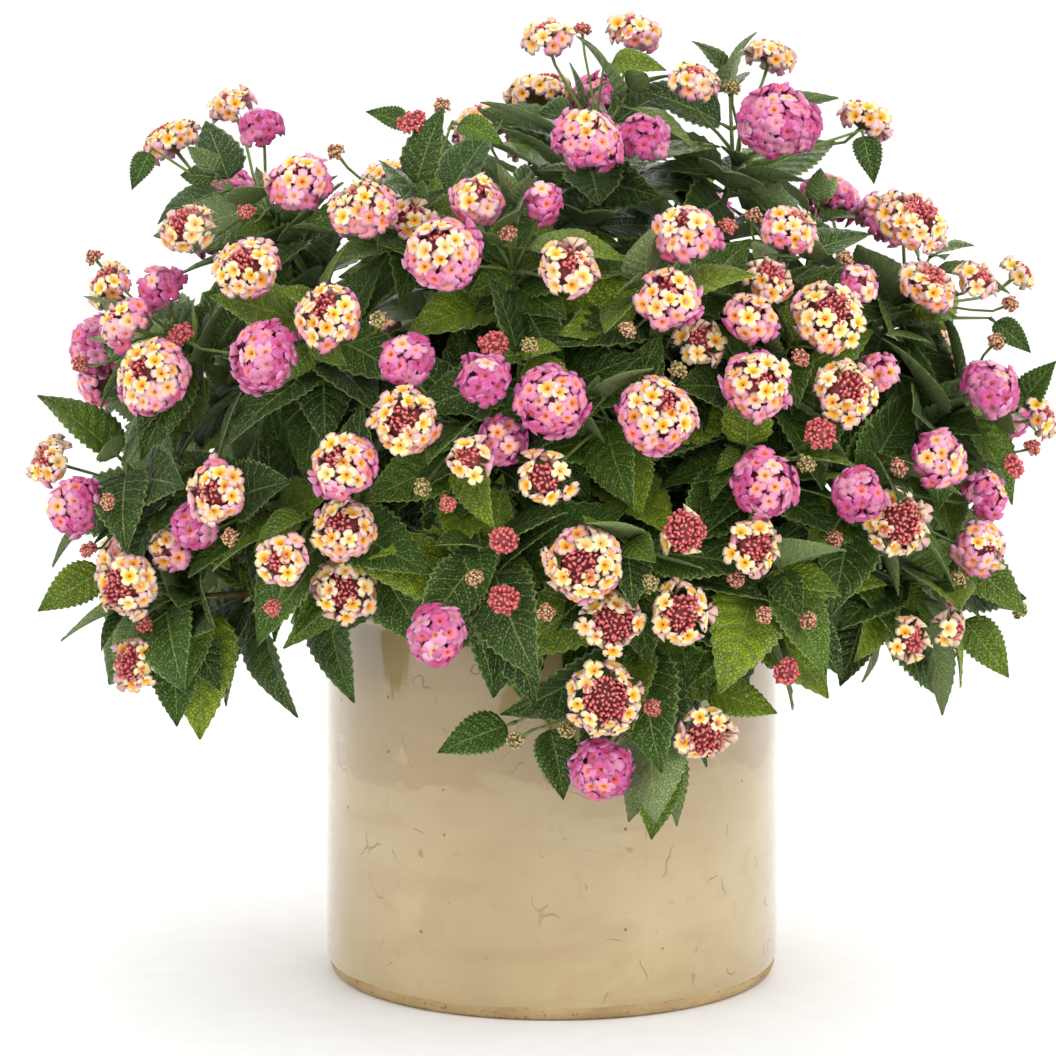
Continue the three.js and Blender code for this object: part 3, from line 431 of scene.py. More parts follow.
def add_leaf(piece, leaf, form, tone, seed):
    """Grows a blade on its petiole. It droops, folds and twists a little in its own way."""
    rng = draws(7, seed)
    length, way, face = leaf.length, leaf.way, leaf.face
    right = np.cross(face, way)
    s, t = form.s, form.t
    wide = np.abs(t)
    half = length * LEAF.width / 2 * blade_half(s)
    fold = BLADE.fold * rng.uniform(*HABIT.fold)
    lift = half * fold * wide * (1 - 0.35 * wide)
    vein = BLADE.veins * (s - BLADE.slant * wide)
    quilt = BLADE.quilt * min(1.2, length / (50 * MM)) * (1 - form.under)
    swell = np.sin(pi * np.minimum(1, wide * 1.05)) ** 0.7
    lift += quilt * (0.5 - np.cos(2 * pi * vein) / 2) * swell
    ripple, phase = rng.uniform(*HABIT.ripple), rng.uniform(0, 2 * pi, 2)
    lift += half * ripple * wide**2 * np.sin(9 * s + phase[(t > 0).astype(int)])
    twist = radians(rng.uniform(*HABIT.twist)) * s
    across = t * half * form.reach
    bend = rng.uniform(*HABIT.bend) * length * s**2
    side = across * np.cos(twist) - lift * np.sin(twist) + bend
    rise = across * np.sin(twist) + lift * np.cos(twist)
    u = LEAF.petiole + (1 - LEAF.petiole) * s
    curl = rng.uniform(*HABIT.curl) * length * s**4
    rise -= LEAF.arch * length * u**2 + curl
    rise -= BLADE.thick * np.where(wide > 0.99, 0.5, 1) * form.under
    points = leaf.at + np.outer(length * u, way) + np.outer(side, right) + np.outer(rise, face)
    piece.add(points, form.faces, "leaf", np.stack([s, t, form.under], 1), tone, form.even)
    shares = np.array([-0.03, 0.6, 1.0]) * LEAF.petiole * 1.15
    line = leaf.at + np.outer(length * shares, way) - np.outer(LEAF.arch * length * shares**2, face)
    line -= np.outer([0, 0, 0.5 * PETIOLE_RADIUS], face)
    points, faces = tube(line, PETIOLE_RADIUS * np.array([1.25, 0.95, 0.5]), 4)
    piece.add(points, faces, "bark", tone=tone)


def leaf_spots(leaf):
    """Points spread over a blade, for finding out what it would cross."""
    u = np.repeat([0.25, 0.42, 0.6, 0.8, 0.98], 3)
    t = np.tile([-0.6, 0.0, 0.6], 5)
    right = np.cross(leaf.face, leaf.way)
    half = leaf.length * LEAF.width / 2 * blade_half((u - LEAF.petiole) / (1 - LEAF.petiole))
    drop = LEAF.arch * leaf.length * u**2
    return (leaf.at + np.outer(leaf.length * u, leaf.way)
            + np.outer(t * half, right) - np.outer(drop, leaf.face))


class Room:
    """What a new leaf has to keep clear of: heads, other leaves, the crock and the canopy's own box."""

    NEAR = 4.5 * MM  # from other leaves
    MARGIN = 4 * MM  # from the crock
    PROUD = 18 * MM  # how far leaves may stand out of the frame's box
    VIEW = 3.5  # a head is kept open to view for so many of its radii,
    BODY, COVER = 0.92, 0.8  # and leaves enter or cover no more of it than lies outside these shares

    def __init__(self, heads):
        self.centres = np.array([h.at for h in heads])
        self.radii = np.array([h.radius for h in heads])
        fronts = [h.face + (FORWARD if h.at[1] < 0 else 0) for h in heads]
        self.ways = unit(np.array(fronts))
        self.low, self.high = (np.array(corner) for corner in cad_box)
        self.spots = np.zeros((0, 3))

    def faults(self, leaf):
        spots = leaf_spots(leaf)
        away = spots[:, None] - self.centres
        far = norm(away, axis=2)
        blocked = (far < self.radii * self.BODY).sum()
        before = (away * self.ways).sum(axis=2)
        beside = np.sqrt(np.maximum(0, far**2 - before**2))
        seen = (before > 0) & (before < self.VIEW * self.radii)
        hiding = (seen & (beside < self.radii * self.COVER)).any(axis=1).sum()
        around = self.spots[norm(self.spots - leaf.at, axis=1) < 1.3 * leaf.length]
        close = (norm(spots[:, None] - around, axis=2) < self.NEAR).any(axis=1).sum()
        level = np.hypot(spots[:, 0], spots[:, 1])
        crock = POT.radius + POT.out + self.MARGIN
        inside = ((level < crock) & (spots[:, 2] < POT.height + self.MARGIN)).sum()
        outside = ((spots < self.low - self.PROUD) | (spots > self.high + self.PROUD)).any(axis=1).sum()
        return 3 * blocked + close + hiding + 4 * inside + 4 * outside

    def keep(self, leaf):
        self.spots = np.concatenate([self.spots, leaf_spots(leaf)])


def sprout(at, axis, turn, tilt, length, droop, roll):
    """A leaf off an axis: tilt is how far it leans out from it, and roll its turn about its midrib."""
    level = np.array([0.3, 0.2, 1.0] if abs(axis[2]) < 0.8 else [1.0, 0.3, 0.0])
    side = turned(flat(level, axis), axis, turn)
    way = unit(axis * cos(tilt) + side * sin(tilt) - UP * droop)
    face = turned(flat(axis * 0.8 + UP * 0.7, way), way, roll)
    return Named(at=at, way=way, face=face, length=length)


# ---------- florets, buds and heads ----------
def floret_form(lobes, cup, seed):
    """A salver of broad lobes round a throat, on a slender tube, of radius 1. cup raises its rim."""
    rng = draws(11, seed)
    corners = 4  # of each lobe: the notch before it, a shoulder, its tip and the other shoulder
    n = lobes * corners
    k = np.arange(n)
    within = k % corners
    turn = (k // corners + np.array([0, 0.19, 0.5, 0.81])[within]) * 2 * pi / lobes
    longer, higher = (np.repeat(rng.uniform(*span, lobes), corners) for span in ((0.88, 1.08), (-0.1, 0.1)))
    rim = np.array([0.58, 0.95, 1.0, 0.95])[within] * longer
    rim_z = cup + np.array([0.05, -0.03, -0.07, -0.03])[within] + higher
    middle = np.array([0.42, 0.55, 0.6, 0.55])[within]
    middle_z = 0.35 * cup + np.array([0.0, 0.07, 0.08, 0.07])[within]
    points = np.concatenate([
        [[0, 0, -0.42]], ring(turn, 0.17, -0.05), ring(turn, middle, middle_z), ring(turn, rim, rim_z),
        ring(turn[::corners], 0.16, -0.5), [[0, 0, -FLORET.tube]]])
    edge, tube_ring, tip = 1 + 2 * n, 1 + 3 * n, 1 + 3 * n + lobes
    sectors, after = np.arange(lobes), (np.arange(lobes) + 1) % lobes
    under = np.stack([edge + k, tube_ring + k // corners, edge + (k + 1) % n], 1)
    gores = np.stack([edge + corners * after, tube_ring + sectors, tube_ring + after], 1)
    stalk = fan(tip, tube_ring + sectors)[:, ::-1]
    faces = np.concatenate([fan(0, 1 + k), grid_faces(3, n, around=True) + 1, under, gores, stalk])
    radial = np.concatenate([[0], np.full(n, 0.17), middle, np.minimum(1, rim), np.full(lobes, 0.5), [0.2]])
    below = np.repeat([0.0, 1.0], [1 + 3 * n, lobes + 1])
    return Named(points=points, faces=faces, material="petal", radial=radial, under=below)


def bud_form():
    """A small closed bud: a cone up to a blunt folded end, which is longer one way than the other."""
    n = 4
    k, turn = np.arange(n), circle(n)
    wide = np.array([1.25, 0.72, 1.25, 0.72])
    points = np.concatenate([ring(turn, 0.42, 0.0), ring(turn, wide, 2.6), [[0, 0, 3.2]], [[0, 0, -1.6]]])
    sides = grid_faces(2, n, around=True)[:, ::-1]
    faces = np.concatenate([sides, fan(2 * n, n + k), fan(2 * n + 1, k)[:, ::-1]])
    radial = np.repeat([0.25, 0.85, 1.0, 0.0], [n, n, 1, 1])
    return Named(points=points, faces=faces, material="flower_bud", radial=radial, under=0)


LOBES = [4, 4, 5, 4]
FLORETS = {age: [floret_form(lobes, cup, k) for k, lobes in enumerate(LOBES)]
           for age, cup in (("young", 0.2), ("old", -0.1))}
BUD_FORM = bud_form()


def dome(head, leans, turns, share):
    """Points at a share of a head's radius, and the directions that its surface faces there."""
    face, radius, depth = head.face, head.radius * share, head.depth
    right = flat(np.array([0.31, 0.17, 0.94]) if abs(face[2]) < 0.9 else SIDEWAYS, face)
    level = np.outer(np.cos(turns), right) + np.outer(np.sin(turns), np.cross(face, right))
    high, wide = np.cos(leans)[:, None], np.sin(leans)[:, None]
    at = head.at + radius * (wide * level + high * depth * face)
    return at, unit(wide * level * depth + high * face)


def spiral(low, high, count, rng):
    """Leans and turns of `count` places spread evenly over a dome between two leans."""
    share = (np.arange(count) + 0.5) / max(1, count)
    leans = np.arccos(np.clip(cos(low) + (cos(high) - cos(low)) * share, -1, 1))
    return leans, np.arange(count) * GOLDEN + rng.uniform(0, 6)


def cap_area(head, low, high):
    """The area of a head's surface between two leans."""
    flatter = (1 + head.depth) / 2
    return 2 * pi * head.radius ** 2 * (cos(low) - cos(high)) * flatter


def plant(piece, form, at, face, size, age, tone, rng):
    """Sets a copy of a small form at each place, turned any way about the direction it faces."""
    n, count = len(at), len(form.points)
    if n == 0:
        return
    look = np.zeros((n, count, 3))
    look[:, :, 0] = form.radial
    look[:, :, 1] = age[:, None]
    look[:, :, 2] = form.under
    side = unit(np.cross(face, rng.normal(size=(n, 3))))
    other = np.cross(face, side)
    axes = np.stack([side, other, face], axis=1)
    points = at[:, None] + np.einsum("vk,nkj->nvj", form.points, axes) * size[:, None, None]
    faces = form.faces[None] + (np.arange(n) * count)[:, None, None]
    points, faces, look = (column.reshape(-1, 3) for column in (points, faces, look))
    piece.add(points, faces, form.material, look, np.repeat(tone, count))


CUPPED = 0.4  # florets younger than this are still cups
# By a head's age: the lean within which it is still in bud, and the age of its youngest open floret.
AGES = [0, 0.05, 0.1, 0.2, 0.3, 0.4, 0.5, 0.6, 0.75, 0.9, 1.0]
BUD_LEAN = [112, 82, 46, 38, 33, 28, 24, 17, 0, 0, 0]
YOUNGEST = [0, 0, 0, 0, 0, 0, 0.02, 0.1, 0.26, 0.46, 0.6]
EDGE_LEAN = Named(young=radians(104), faded=radians(116))


def add_buds(piece, head, low, high, ripe, rng):
    """Closed buds over a head between two leans. ripe goes from 0, green, to 1, coral."""
    share = BUD.unripe if head.bud else 1
    count = max(3, round(cap_area(head, low, high) / (share * BUD.spacing) ** 2))
    leans, turns = spiral(low, high, count, rng)
    at, face = dome(head, leans, turns, 1.0)
    at = at - face * (rng.uniform(*BUD.sunk, (count, 1)) * BUD.radius)
    face = unit(face + rng.normal(0, BUD.askew, (count, 3)))
    size = share * BUD.radius * rng.uniform(*BUD.sizes, count)
    age = np.clip(ripe + rng.normal(0, BUD.uneven, count), 0, 1)
    plant(piece, BUD_FORM, at, face, size, age, rng.uniform(0, 1, count), rng)


def add_florets(piece, head, low, rng):
    """Open florets round the buds: the outer ones opened first, and have turned pink."""
    edge = EDGE_LEAN.young + (EDGE_LEAN.faded - EDGE_LEAN.young) * head.age
    count = round(cap_area(head, low, edge) / (2 * FLORET.radius * FLORET.spacing) ** 2)
    if count < 1:
        return
    leans, turns = spiral(low, edge, count, rng)
    leans = leans + rng.normal(0, FLORET.strays, count)
    at, face = dome(head, leans, turns + rng.normal(0, FLORET.turns, count), FLORET.lift)
    at = at + face * rng.normal(0, FLORET.out, (count, 1))
    face = unit(face + rng.normal(0, FLORET.askew, (count, 3)))
    youngest, faster = np.interp(head.age, AGES, YOUNGEST), 0.62 + 0.5 * head.age
    ages = youngest + (leans - low) / radians(100) * faster + rng.normal(0, FLORET.uneven, count)
    ages = np.clip(ages, 0, 1)
    size = FLORET.radius * (0.86 + 0.16 * ages) * rng.uniform(*FLORET.sizes, count)
    tone = rng.uniform(0, 1, count)
    kinds = rng.integers(0, len(FLORETS["young"]), count)
    cupped = ages < CUPPED
    for age, forms in FLORETS.items():
        for k, form in enumerate(forms):
            mine = (kinds == k) & (cupped == (age == "young"))
            plant(piece, form, at[mine], face[mine], size[mine], ages[mine], tone[mine], rng)


def add_core(piece, head, share, ripe):
    """The middle of a head, which shows between its florets: its mass of tubes, darkened with painted shade.
    It narrows to a green foot at the neck.
    """
    rows, columns = 8, 9
    leans = np.repeat(np.linspace(0.02, radians(122), rows), columns)
    turns = np.tile(circle(columns), rows)
    at, _ = dome(head, leans, turns, share)
    for row, closer in ((rows - 2, 0.3), (rows - 1, 0.85)):
        mine = slice(row * columns, (row + 1) * columns)
        at[mine] += closer * (head.neck - at[mine])
    inner = np.arange(1, columns - 1)
    last = (rows - 1) * columns
    caps = [np.stack([0 * inner, inner, inner + 1], 1), np.stack([0 * inner, inner + 1, inner], 1) + last]
    ripeness = ripe * np.interp(leans, [radians(60), radians(115)], [1, 0.1])
    # radial 0.25 puts the core under the bud material's painted shade
    look = np.stack([0 * leans + 0.25, ripeness, 0 * leans], 1)
    piece.add(at, np.concatenate([grid_faces(rows, columns, around=True), *caps]), "flower_bud", look, 0.2)


def add_stalks(piece, foot, axis, group):
    """A truss's short stem, and the slender stalk of each of its heads."""
    rise = max((head.root - foot) @ axis for head in group)
    line = foot + np.outer([-1 * MM, 0.35 * rise, 0.8 * rise, rise + 1 * MM], axis)
    piece.add(*tube(line, STALK.stem * np.array([1.0, 1.05, 1.0, 0.5]), 7), "bark")
    for head in group:
        start = foot + axis * max(1 * MM, (head.root - foot) @ axis - 2.5 * MM)
        end = head.neck + head.face * 1 * MM
        far = norm(end - start)
        leave = start + unit(head.root - start + axis * 1 * MM) * 0.35 * far
        arrive = end - head.face * 0.3 * far
        t = np.linspace(0, 1, 6)[:, None]
        line = (1 - t)**3 * start + 3 * (1 - t)**2 * t * leave + 3 * (1 - t) * t**2 * arrive + t**3 * end
        widths = [STALK.foot, STALK.slim, STALK.slim, STALK.neck]
        radii = np.interp(t[:, 0], [0, 0.3, 0.8, 1], widths)
        piece.add(*tube(line, radii * (0.8 if head.bud else 1), 6), "bark")


def add_head(piece, head, seed):
    rng = draws(3, seed)
    if head.bud:
        ripe = rng.choice([0.12, 0.45, 0.55, 0.75])
        add_core(piece, head, 0.55, ripe)
        add_buds(piece, head, 0, radians(125), ripe, rng)
        return
    low = radians(np.interp(head.age, AGES, BUD_LEAN))
    add_core(piece, head, 0.62, 0.85)
    if low > 0.05:
        add_buds(piece, head, 0, low, 0.95, rng)
    if low < radians(95):
        add_florets(piece, head, low, rng)


# ---------- the crock and its soil ----------
def pot_profile():
    """[radius, height] round the crock's wall, from the middle of its underside to that of its floor."""
    radius, size = POT.radius, POT.round
    outer, inner = radius + POT.out, radius - POT.wall
    rim = POT.height - size
    shoulder = POT.height - POT.collar
    foot = [(r, 0) for r in np.linspace(0, radius - POT.bevel, 8)]
    foot += [(radius - 2.2 * MM, 2 * MM), (radius - 1.2 * MM, 5 * MM), (radius - 0.9 * MM, POT.foot)]
    wall = [(radius, z) for z in np.linspace(POT.foot + 2.5 * MM, shoulder - 0.6 * MM, 56)]
    step = [(radius + 0.3 * MM, shoulder + 0.3 * MM), (outer - 0.5 * MM, shoulder + 1 * MM)]
    collar = [(outer, z) for z in np.linspace(shoulder + 2.2 * MM, rim, 10)]
    lip = [(r + size * cos(a), rim + size * sin(a))
           for r, start in ((outer - size, 10), (inner + size, 90))
           for a in np.radians(np.linspace(start, start + 80, 7))]
    inside = [(inner, z) for z in np.linspace(rim, POT.floor + 3 * MM, 16)]
    inside += [(inner - 1 * MM, POT.floor + 1 * MM), (inner - 3 * MM, POT.floor)]
    floor = [(r, POT.floor) for r in np.linspace(inner - 8 * MM, 0, 8)]
    return foot + wall + step + collar + lip + inside + floor


def pot_relief(z, x, y):
    """How far the thrown and glazed surface stands off its true circle, at a height and on a unit circle."""
    swell = 0.45 * MM * noise.noise(Vector((x * 1.6, y * 1.6, z * 9)))
    dents = 0.22 * MM * noise.noise(Vector((x * 5, y * 5, z * 34)))
    rings = 0.05 * MM * sin(z * 700 + 2 * noise.noise(Vector((x, y, z * 20))))
    return swell + dents + rings


def build_pot():
    """The crock, glazed down to a wavy line above its bare foot."""
    sides = POT.sides
    rings = pot_profile()[1:-1]
    points = []
    for r, z in rings:
        outside = r > POT.radius - 4 * MM
        for turn in circle(sides):
            x, y = cos(turn), sin(turn)
            wave = 1.4 * MM * noise.noise(Vector((x * 4, y * 4, 0))) if outside and z == POT.foot else 0
            out = r + (pot_relief(z, x, y) if outside and z >= POT.foot else 0)
            points.append((out * x, out * y, z + wave))
    count = len(points)
    points += [(0, 0, 0), (0, 0, POT.floor)]
    body = grid_faces(len(rings), sides, around=True)[:, ::-1]
    underside, floor = fan(count, np.arange(sides))[:, ::-1], fan(count + 1, np.arange(count - sides, count))
    faces = np.concatenate([body, underside, floor])
    glazed_from = (1 + [z for _, z in rings].index(POT.foot)) * sides
    bare = (faces.max(axis=1) < glazed_from) | (faces == count).any(axis=1)
    piece = Piece()
    piece.add(points, faces, np.where(bare, "bare_clay", "glaze"))
    cut_drains(piece.build("crock", "glazed_stoneware", "pot"))


def cut_drains(pot):
    """Drain holes through the floor, cut and applied."""
    mesh = bmesh.new()
    size = {"segments": 20, "radius1": POT.drain, "radius2": POT.drain, "depth": 3 * POT.floor}
    for turn in circle(POT.drains) + pi / 2:
        made = bmesh.ops.create_cone(mesh, cap_ends=True, **size)
        at = (POT.drain_ring * cos(turn), POT.drain_ring * sin(turn), 0)
        bmesh.ops.translate(mesh, verts=made["verts"], vec=at)
    cutter = set_down("drains", mesh)
    cut = pot.modifiers.new("drains", "BOOLEAN")
    cut.operation, cut.solver, cut.object = "DIFFERENCE", "EXACT", cutter
    holed = bpy.data.meshes.new_from_object(modified(pot))
    pot.modifiers.clear()
    pot.data = holed
    bpy.data.objects.remove(cutter)


def soil_at(r, turn):
    """A place on the soil's top, which is domed a little and lumpy."""
    x, y = r * cos(turn), r * sin(turn)
    edge = POT.radius - POT.wall
    lumps = SOIL.lumps * noise.fractal(Vector((x * 60, y * 60, 0)), 0.9, 2.0, 4)
    return x, y, SOIL.top - SOIL.crown * (hypot(x, y) / edge) ** 2 + lumps


def build_soil():
    piece = Piece()
    rings, sides = SOIL.rings, SOIL.sides
    edge = POT.radius - POT.wall - SOIL.gap
    bottom = POT.floor + SOIL.gap
    radii = edge * (np.arange(1, rings + 1) / rings) ** 0.9
    points = [soil_at(r, turn) for r in radii for turn in circle(sides)]
    points += [(edge * cos(turn), edge * sin(turn), bottom) for turn in circle(sides)]
    count = len(points)
    points += [soil_at(0, 0), (0, 0, bottom)]
    body = grid_faces(rings + 1, sides, around=True)
    top, foot = fan(count, np.arange(sides)), fan(count + 1, np.arange(count - sides, count))[:, ::-1]
    piece.add(points, np.concatenate([body, top, foot]), "potting_soil")
    rng = draws(5)
    form = bmesh.new()
    bmesh.ops.create_icosphere(form, subdivisions=1, radius=1)
    form.verts.index_update()
    ball = np.array([v.co for v in form.verts])
    ball_faces = np.array([[v.index for v in face.verts] for face in form.faces])
    form.free()
    for _ in range(SOIL.crumbs):
        x, y, z = soil_at(edge * 0.97 * sqrt(rng.uniform()), rng.uniform(0, 2 * pi))
        pale = rng.uniform() < SOIL.pale
        size = rng.uniform(*(SOIL.pale_size if pale else SOIL.dark_size)) * MM
        shape = ball * rng.uniform(0.7, 1.25, (len(ball), 1)) * size * rng.uniform(0.6, 1.3, 3)
        shape += (x, y, z + 0.2 * size)
        piece.add(shape, ball_faces, "soil_crumb", (float(pale), 0, 0), rng.uniform())
    piece.build("potting_soil", "potting_soil", "soil")


# ---------- materials ----------
def srgb(code):
    """A web colour in the linear numbers that shaders take."""
    shares = [part / 255 for part in bytes.fromhex(code)]
    return (*(c / 12.92 if c <= 0.04045 else ((c + 0.055) / 1.055) ** 2.4 for c in shares), 1.0)


class Paint:
    """A node material, built up from small calls. Colours are web colours."""

    def __init__(self, name, **fixed):
        self.material = bpy.data.materials.new(name)
        self.material.use_nodes = True
        self.tree = self.material.node_tree
        self.shader = self.tree.nodes["Principled BSDF"]
        for socket, value in fixed.items():
            self.shader.inputs[socket.replace("_", " ")].default_value = value
        look = self.node("ShaderNodeAttribute", attribute_name="look")
        self.x, self.y, self.z = self.apart("XYZ", "Vector", look.outputs["Vector"])
        self.tone = self.node("ShaderNodeAttribute", attribute_name="tone").outputs["Fac"]
        self.place = self.node("ShaderNodeTexCoord").outputs["Object"]

    def node(self, kind, inputs=None, **settings):
        node = self.tree.nodes.new(kind)
        for key, value in settings.items():
            setattr(node, key, value)
        for key, value in (inputs or {}).items():
            self.put(node.inputs[key], value)
        return node

    def put(self, socket, value):
        if isinstance(value, bpy.types.NodeSocket):
            self.tree.links.new(value, socket)
        else:
            socket.default_value = srgb(value) if isinstance(value, str) else value

    def apart(self, kind, socket, value):
        """The three parts of a vector or colour."""
        return self.node("ShaderNodeSeparate" + kind, {socket: value}).outputs

    def calc(self, operation, a, b=0.0):
        return self.node("ShaderNodeMath", {0: a, 1: b}, operation=operation).outputs[0]

    def times(self, a, b):
        return self.calc("MULTIPLY", a, b)

    def fade(self, value, low, high, to_low=0.0, to_high=1.0):
        """A smooth step of value from low to high."""
        sockets = {"Value": value, "From Min": low, "From Max": high, "To Min": to_low, "To Max": to_high}
        return self.node("ShaderNodeMapRange", sockets, interpolation_type="SMOOTHSTEP").outputs[0]

    def blend(self, share, a, b, how="MIX"):
        return self.node("ShaderNodeMix", {0: share, 6: a, 7: b}, data_type="RGBA", blend_type=how).outputs[2]

    def layers(self, colour, *coats):
        """A colour under others, each laid on by its share."""
        for share, coat in coats:
            colour = self.blend(share, colour, coat)
        return colour

    def ramp(self, value, stops):
        node = self.node("ShaderNodeValToRGB", {"Fac": value})
        elements = node.color_ramp.elements
        while len(elements) < len(stops):
            elements.new(0.5)
        for element, (at, colour) in zip(elements, stops.items()):
            element.position = at
            element.color = srgb(colour)
        return node.outputs["Color"]

    def noise(self, scale, detail=3.0, vector=None, distortion=0.0):
        sockets = {"Vector": vector or self.place, "Scale": scale, "Detail": detail, "Distortion": distortion}
        return self.node("ShaderNodeTexNoise", sockets).outputs["Fac"]

    def stretched(self, *scale):
        return self.node("ShaderNodeMapping", {"Vector": self.place, "Scale": scale}).outputs[0]

    def cells(self, scale, feature="F1"):
        sockets = {"Vector": self.place, "Scale": scale}
        return self.node("ShaderNodeTexVoronoi", sockets, feature=feature).outputs

    def spots(self, scale, channel, rare, far, near):
        """Small round spots, one in some of the cells of a pattern. The share `rare` of cells has none."""
        cells = self.cells(scale)
        kind = self.apart("Color", "Color", cells["Color"])[channel]
        return self.times(self.fade(kind, rare, rare + 0.02), self.fade(cells["Distance"], far, near))

    def finish(self, colour, roughness, height, strength, distance):
        self.put(self.shader.inputs["Base Color"], colour)
        self.put(self.shader.inputs["Roughness"], roughness)
        bump = self.node("ShaderNodeBump", {"Height": height, "Strength": strength, "Distance": distance})
        self.put(self.shader.inputs["Normal"], bump.outputs["Normal"])


def make_leaf():
    p = Paint("leaf", Specular_IOR_Level=0.42)
    wide = p.calc("ABSOLUTE", p.y)
    run = p.times(p.calc("SUBTRACT", p.x, p.times(wide, BLADE.slant)), BLADE.veins)
    off_vein = p.calc("PINGPONG", run, 0.5)
    patch = p.noise(38, 2)
    vein = p.times(p.fade(off_vein, 0.075, 0.0), p.fade(patch, 0.3, 0.7, 0.5, 1.0))
    lines = p.calc("MAXIMUM", vein, p.fade(wide, 0.05, 0.01))
    net = p.cells(620, "DISTANCE_TO_EDGE")["Distance"]
    crease = p.fade(net, 0.16, 0.0)
    upper = p.layers(
        p.ramp(p.tone, {0: "2c460e", 0.35: "466a12", 0.7: "6c8e16", 1: "9cb420"}),
        (p.fade(patch, 0.35, 0.7, 0.0, 0.5), "1e380c"),
        # painted highlight: the middles of the net's cells are lighter, as if light caught their bulges
        (p.fade(net, 0.12, 0.45, 0.0, 0.36), "86a246"),
        # painted shade: darker beside the sunken veins, where shade falls in their grooves
        (p.fade(off_vein, 0.26, 0.0, 0.0, 0.44), "142a0a"),
        # painted shade in the net's creases
        (p.times(crease, 0.4), "102208"),
        (p.times(lines, 0.7), "98b058"),
        # painted highlight: a paler rim, as if light caught the blade's edges
        (p.fade(wide, 0.88, 1.0, 0.0, 0.65), "9cb460"))
    # the underside's creases get painted shade too
    under = p.layers("849c60", (p.times(crease, 0.35), "647e42"), (p.times(lines, 0.6), "b6c288"))
    height = p.calc("SUBTRACT", p.times(off_vein, 1.2), p.times(crease, 0.5))
    p.finish(p.blend(p.z, upper, under), p.fade(patch, 0.2, 0.8, 0.36, 0.52), height, 1.0, 0.9 * MM)


def make_petal():
    """Lobes, their paler rims, the glow round the throat and the throat itself all turn with age."""
    p = Paint("petal", Specular_IOR_Level=0.25)
    lobe = p.ramp(p.y, {0: "fff2be", 0.18: "ffeec8", 0.34: "fadccc", 0.5: "f2b6c8",
                        0.66: "e88cbc", 0.84: "d862a2", 1: "c4448e"})
    rim = p.ramp(p.y, {0: "ffe4b4", 0.3: "f8c8c0", 0.6: "f0acd0", 1: "e692cc"})
    glow = p.ramp(p.y, {0: "ffd028", 0.35: "ffca3c", 0.5: "febe68",
                        0.66: "f8a48c", 0.84: "ea7c9c", 1: "c8488a"})
    throat = p.ramp(p.y, {0: "f8a408", 0.35: "f48e0e", 0.6: "f27c1e",
                          0.8: "ea6036", 0.92: "e25446", 1: "be3a58"})
    streak = p.noise(900, 2)
    upper = p.layers(
        lobe,
        (p.fade(p.x, 0.66, 1.0, 0.0, 0.8), rim),
        (p.fade(p.x, 0.7, 0.36), glow),
        (p.fade(p.x, 0.36, 0.14), throat),
        # painted shade: the sunken pit of the throat goes dark brown
        (p.fade(p.x, 0.13, 0.03), "763410"),
        (p.fade(streak, 0.35, 0.75, 0.0, 0.12), "fff0e2"),
        (p.fade(p.tone, 0.5, 1.0, 0.0, 0.2), "fff4ec"))
    varied = p.blend(p.fade(p.tone, 0.5, 0.0, 0.0, 0.5), upper, "e8ced8", how="MULTIPLY")
    colour = p.blend(p.z, varied, p.blend(0.45, lobe, "ce686c"))
    p.finish(colour, p.fade(streak, 0.2, 0.8, 0.48, 0.66), streak, 0.25, 0.2 * MM)


def make_bud():
    p = Paint("flower_bud", Specular_IOR_Level=0.35)
    body = p.ramp(p.y, {0: "5c6830", 0.3: "76563a", 0.55: "904c42", 0.75: "a64246", 1: "be3c4e"})
    tips = p.ramp(p.y, {0: "bebe70", 0.45: "ecce96", 0.7: "e28c7a", 1: "e87a7e"})
    mottle = p.noise(700, 2)
    colour = p.layers(
        body,
        # painted shade: buds darken towards their bases, so the gaps between them read dark
        (p.fade(p.x, 0.7, 0.0, 0.0, 0.85), "421a18"),
        (p.fade(p.x, 0.78, 0.98), tips),
        (p.times(p.tone, 0.2), "eeb094"))
    p.finish(colour, p.fade(mottle, 0.2, 0.8, 0.45, 0.65), mottle, 0.3, 0.2 * MM)


def make_bark():
    p = Paint("bark", Specular_IOR_Level=0.35)
    grain = p.noise(260, 4)
    green = p.ramp(grain, {0.3: "566c34", 0.7: "7a8c48"})
    brown = p.ramp(grain, {0.3: "4e3c28", 0.7: "7c6442"})
    p.finish(p.blend(p.x, green, brown), p.fade(grain, 0.2, 0.8, 0.5, 0.75), grain, 0.5, 0.4 * MM)


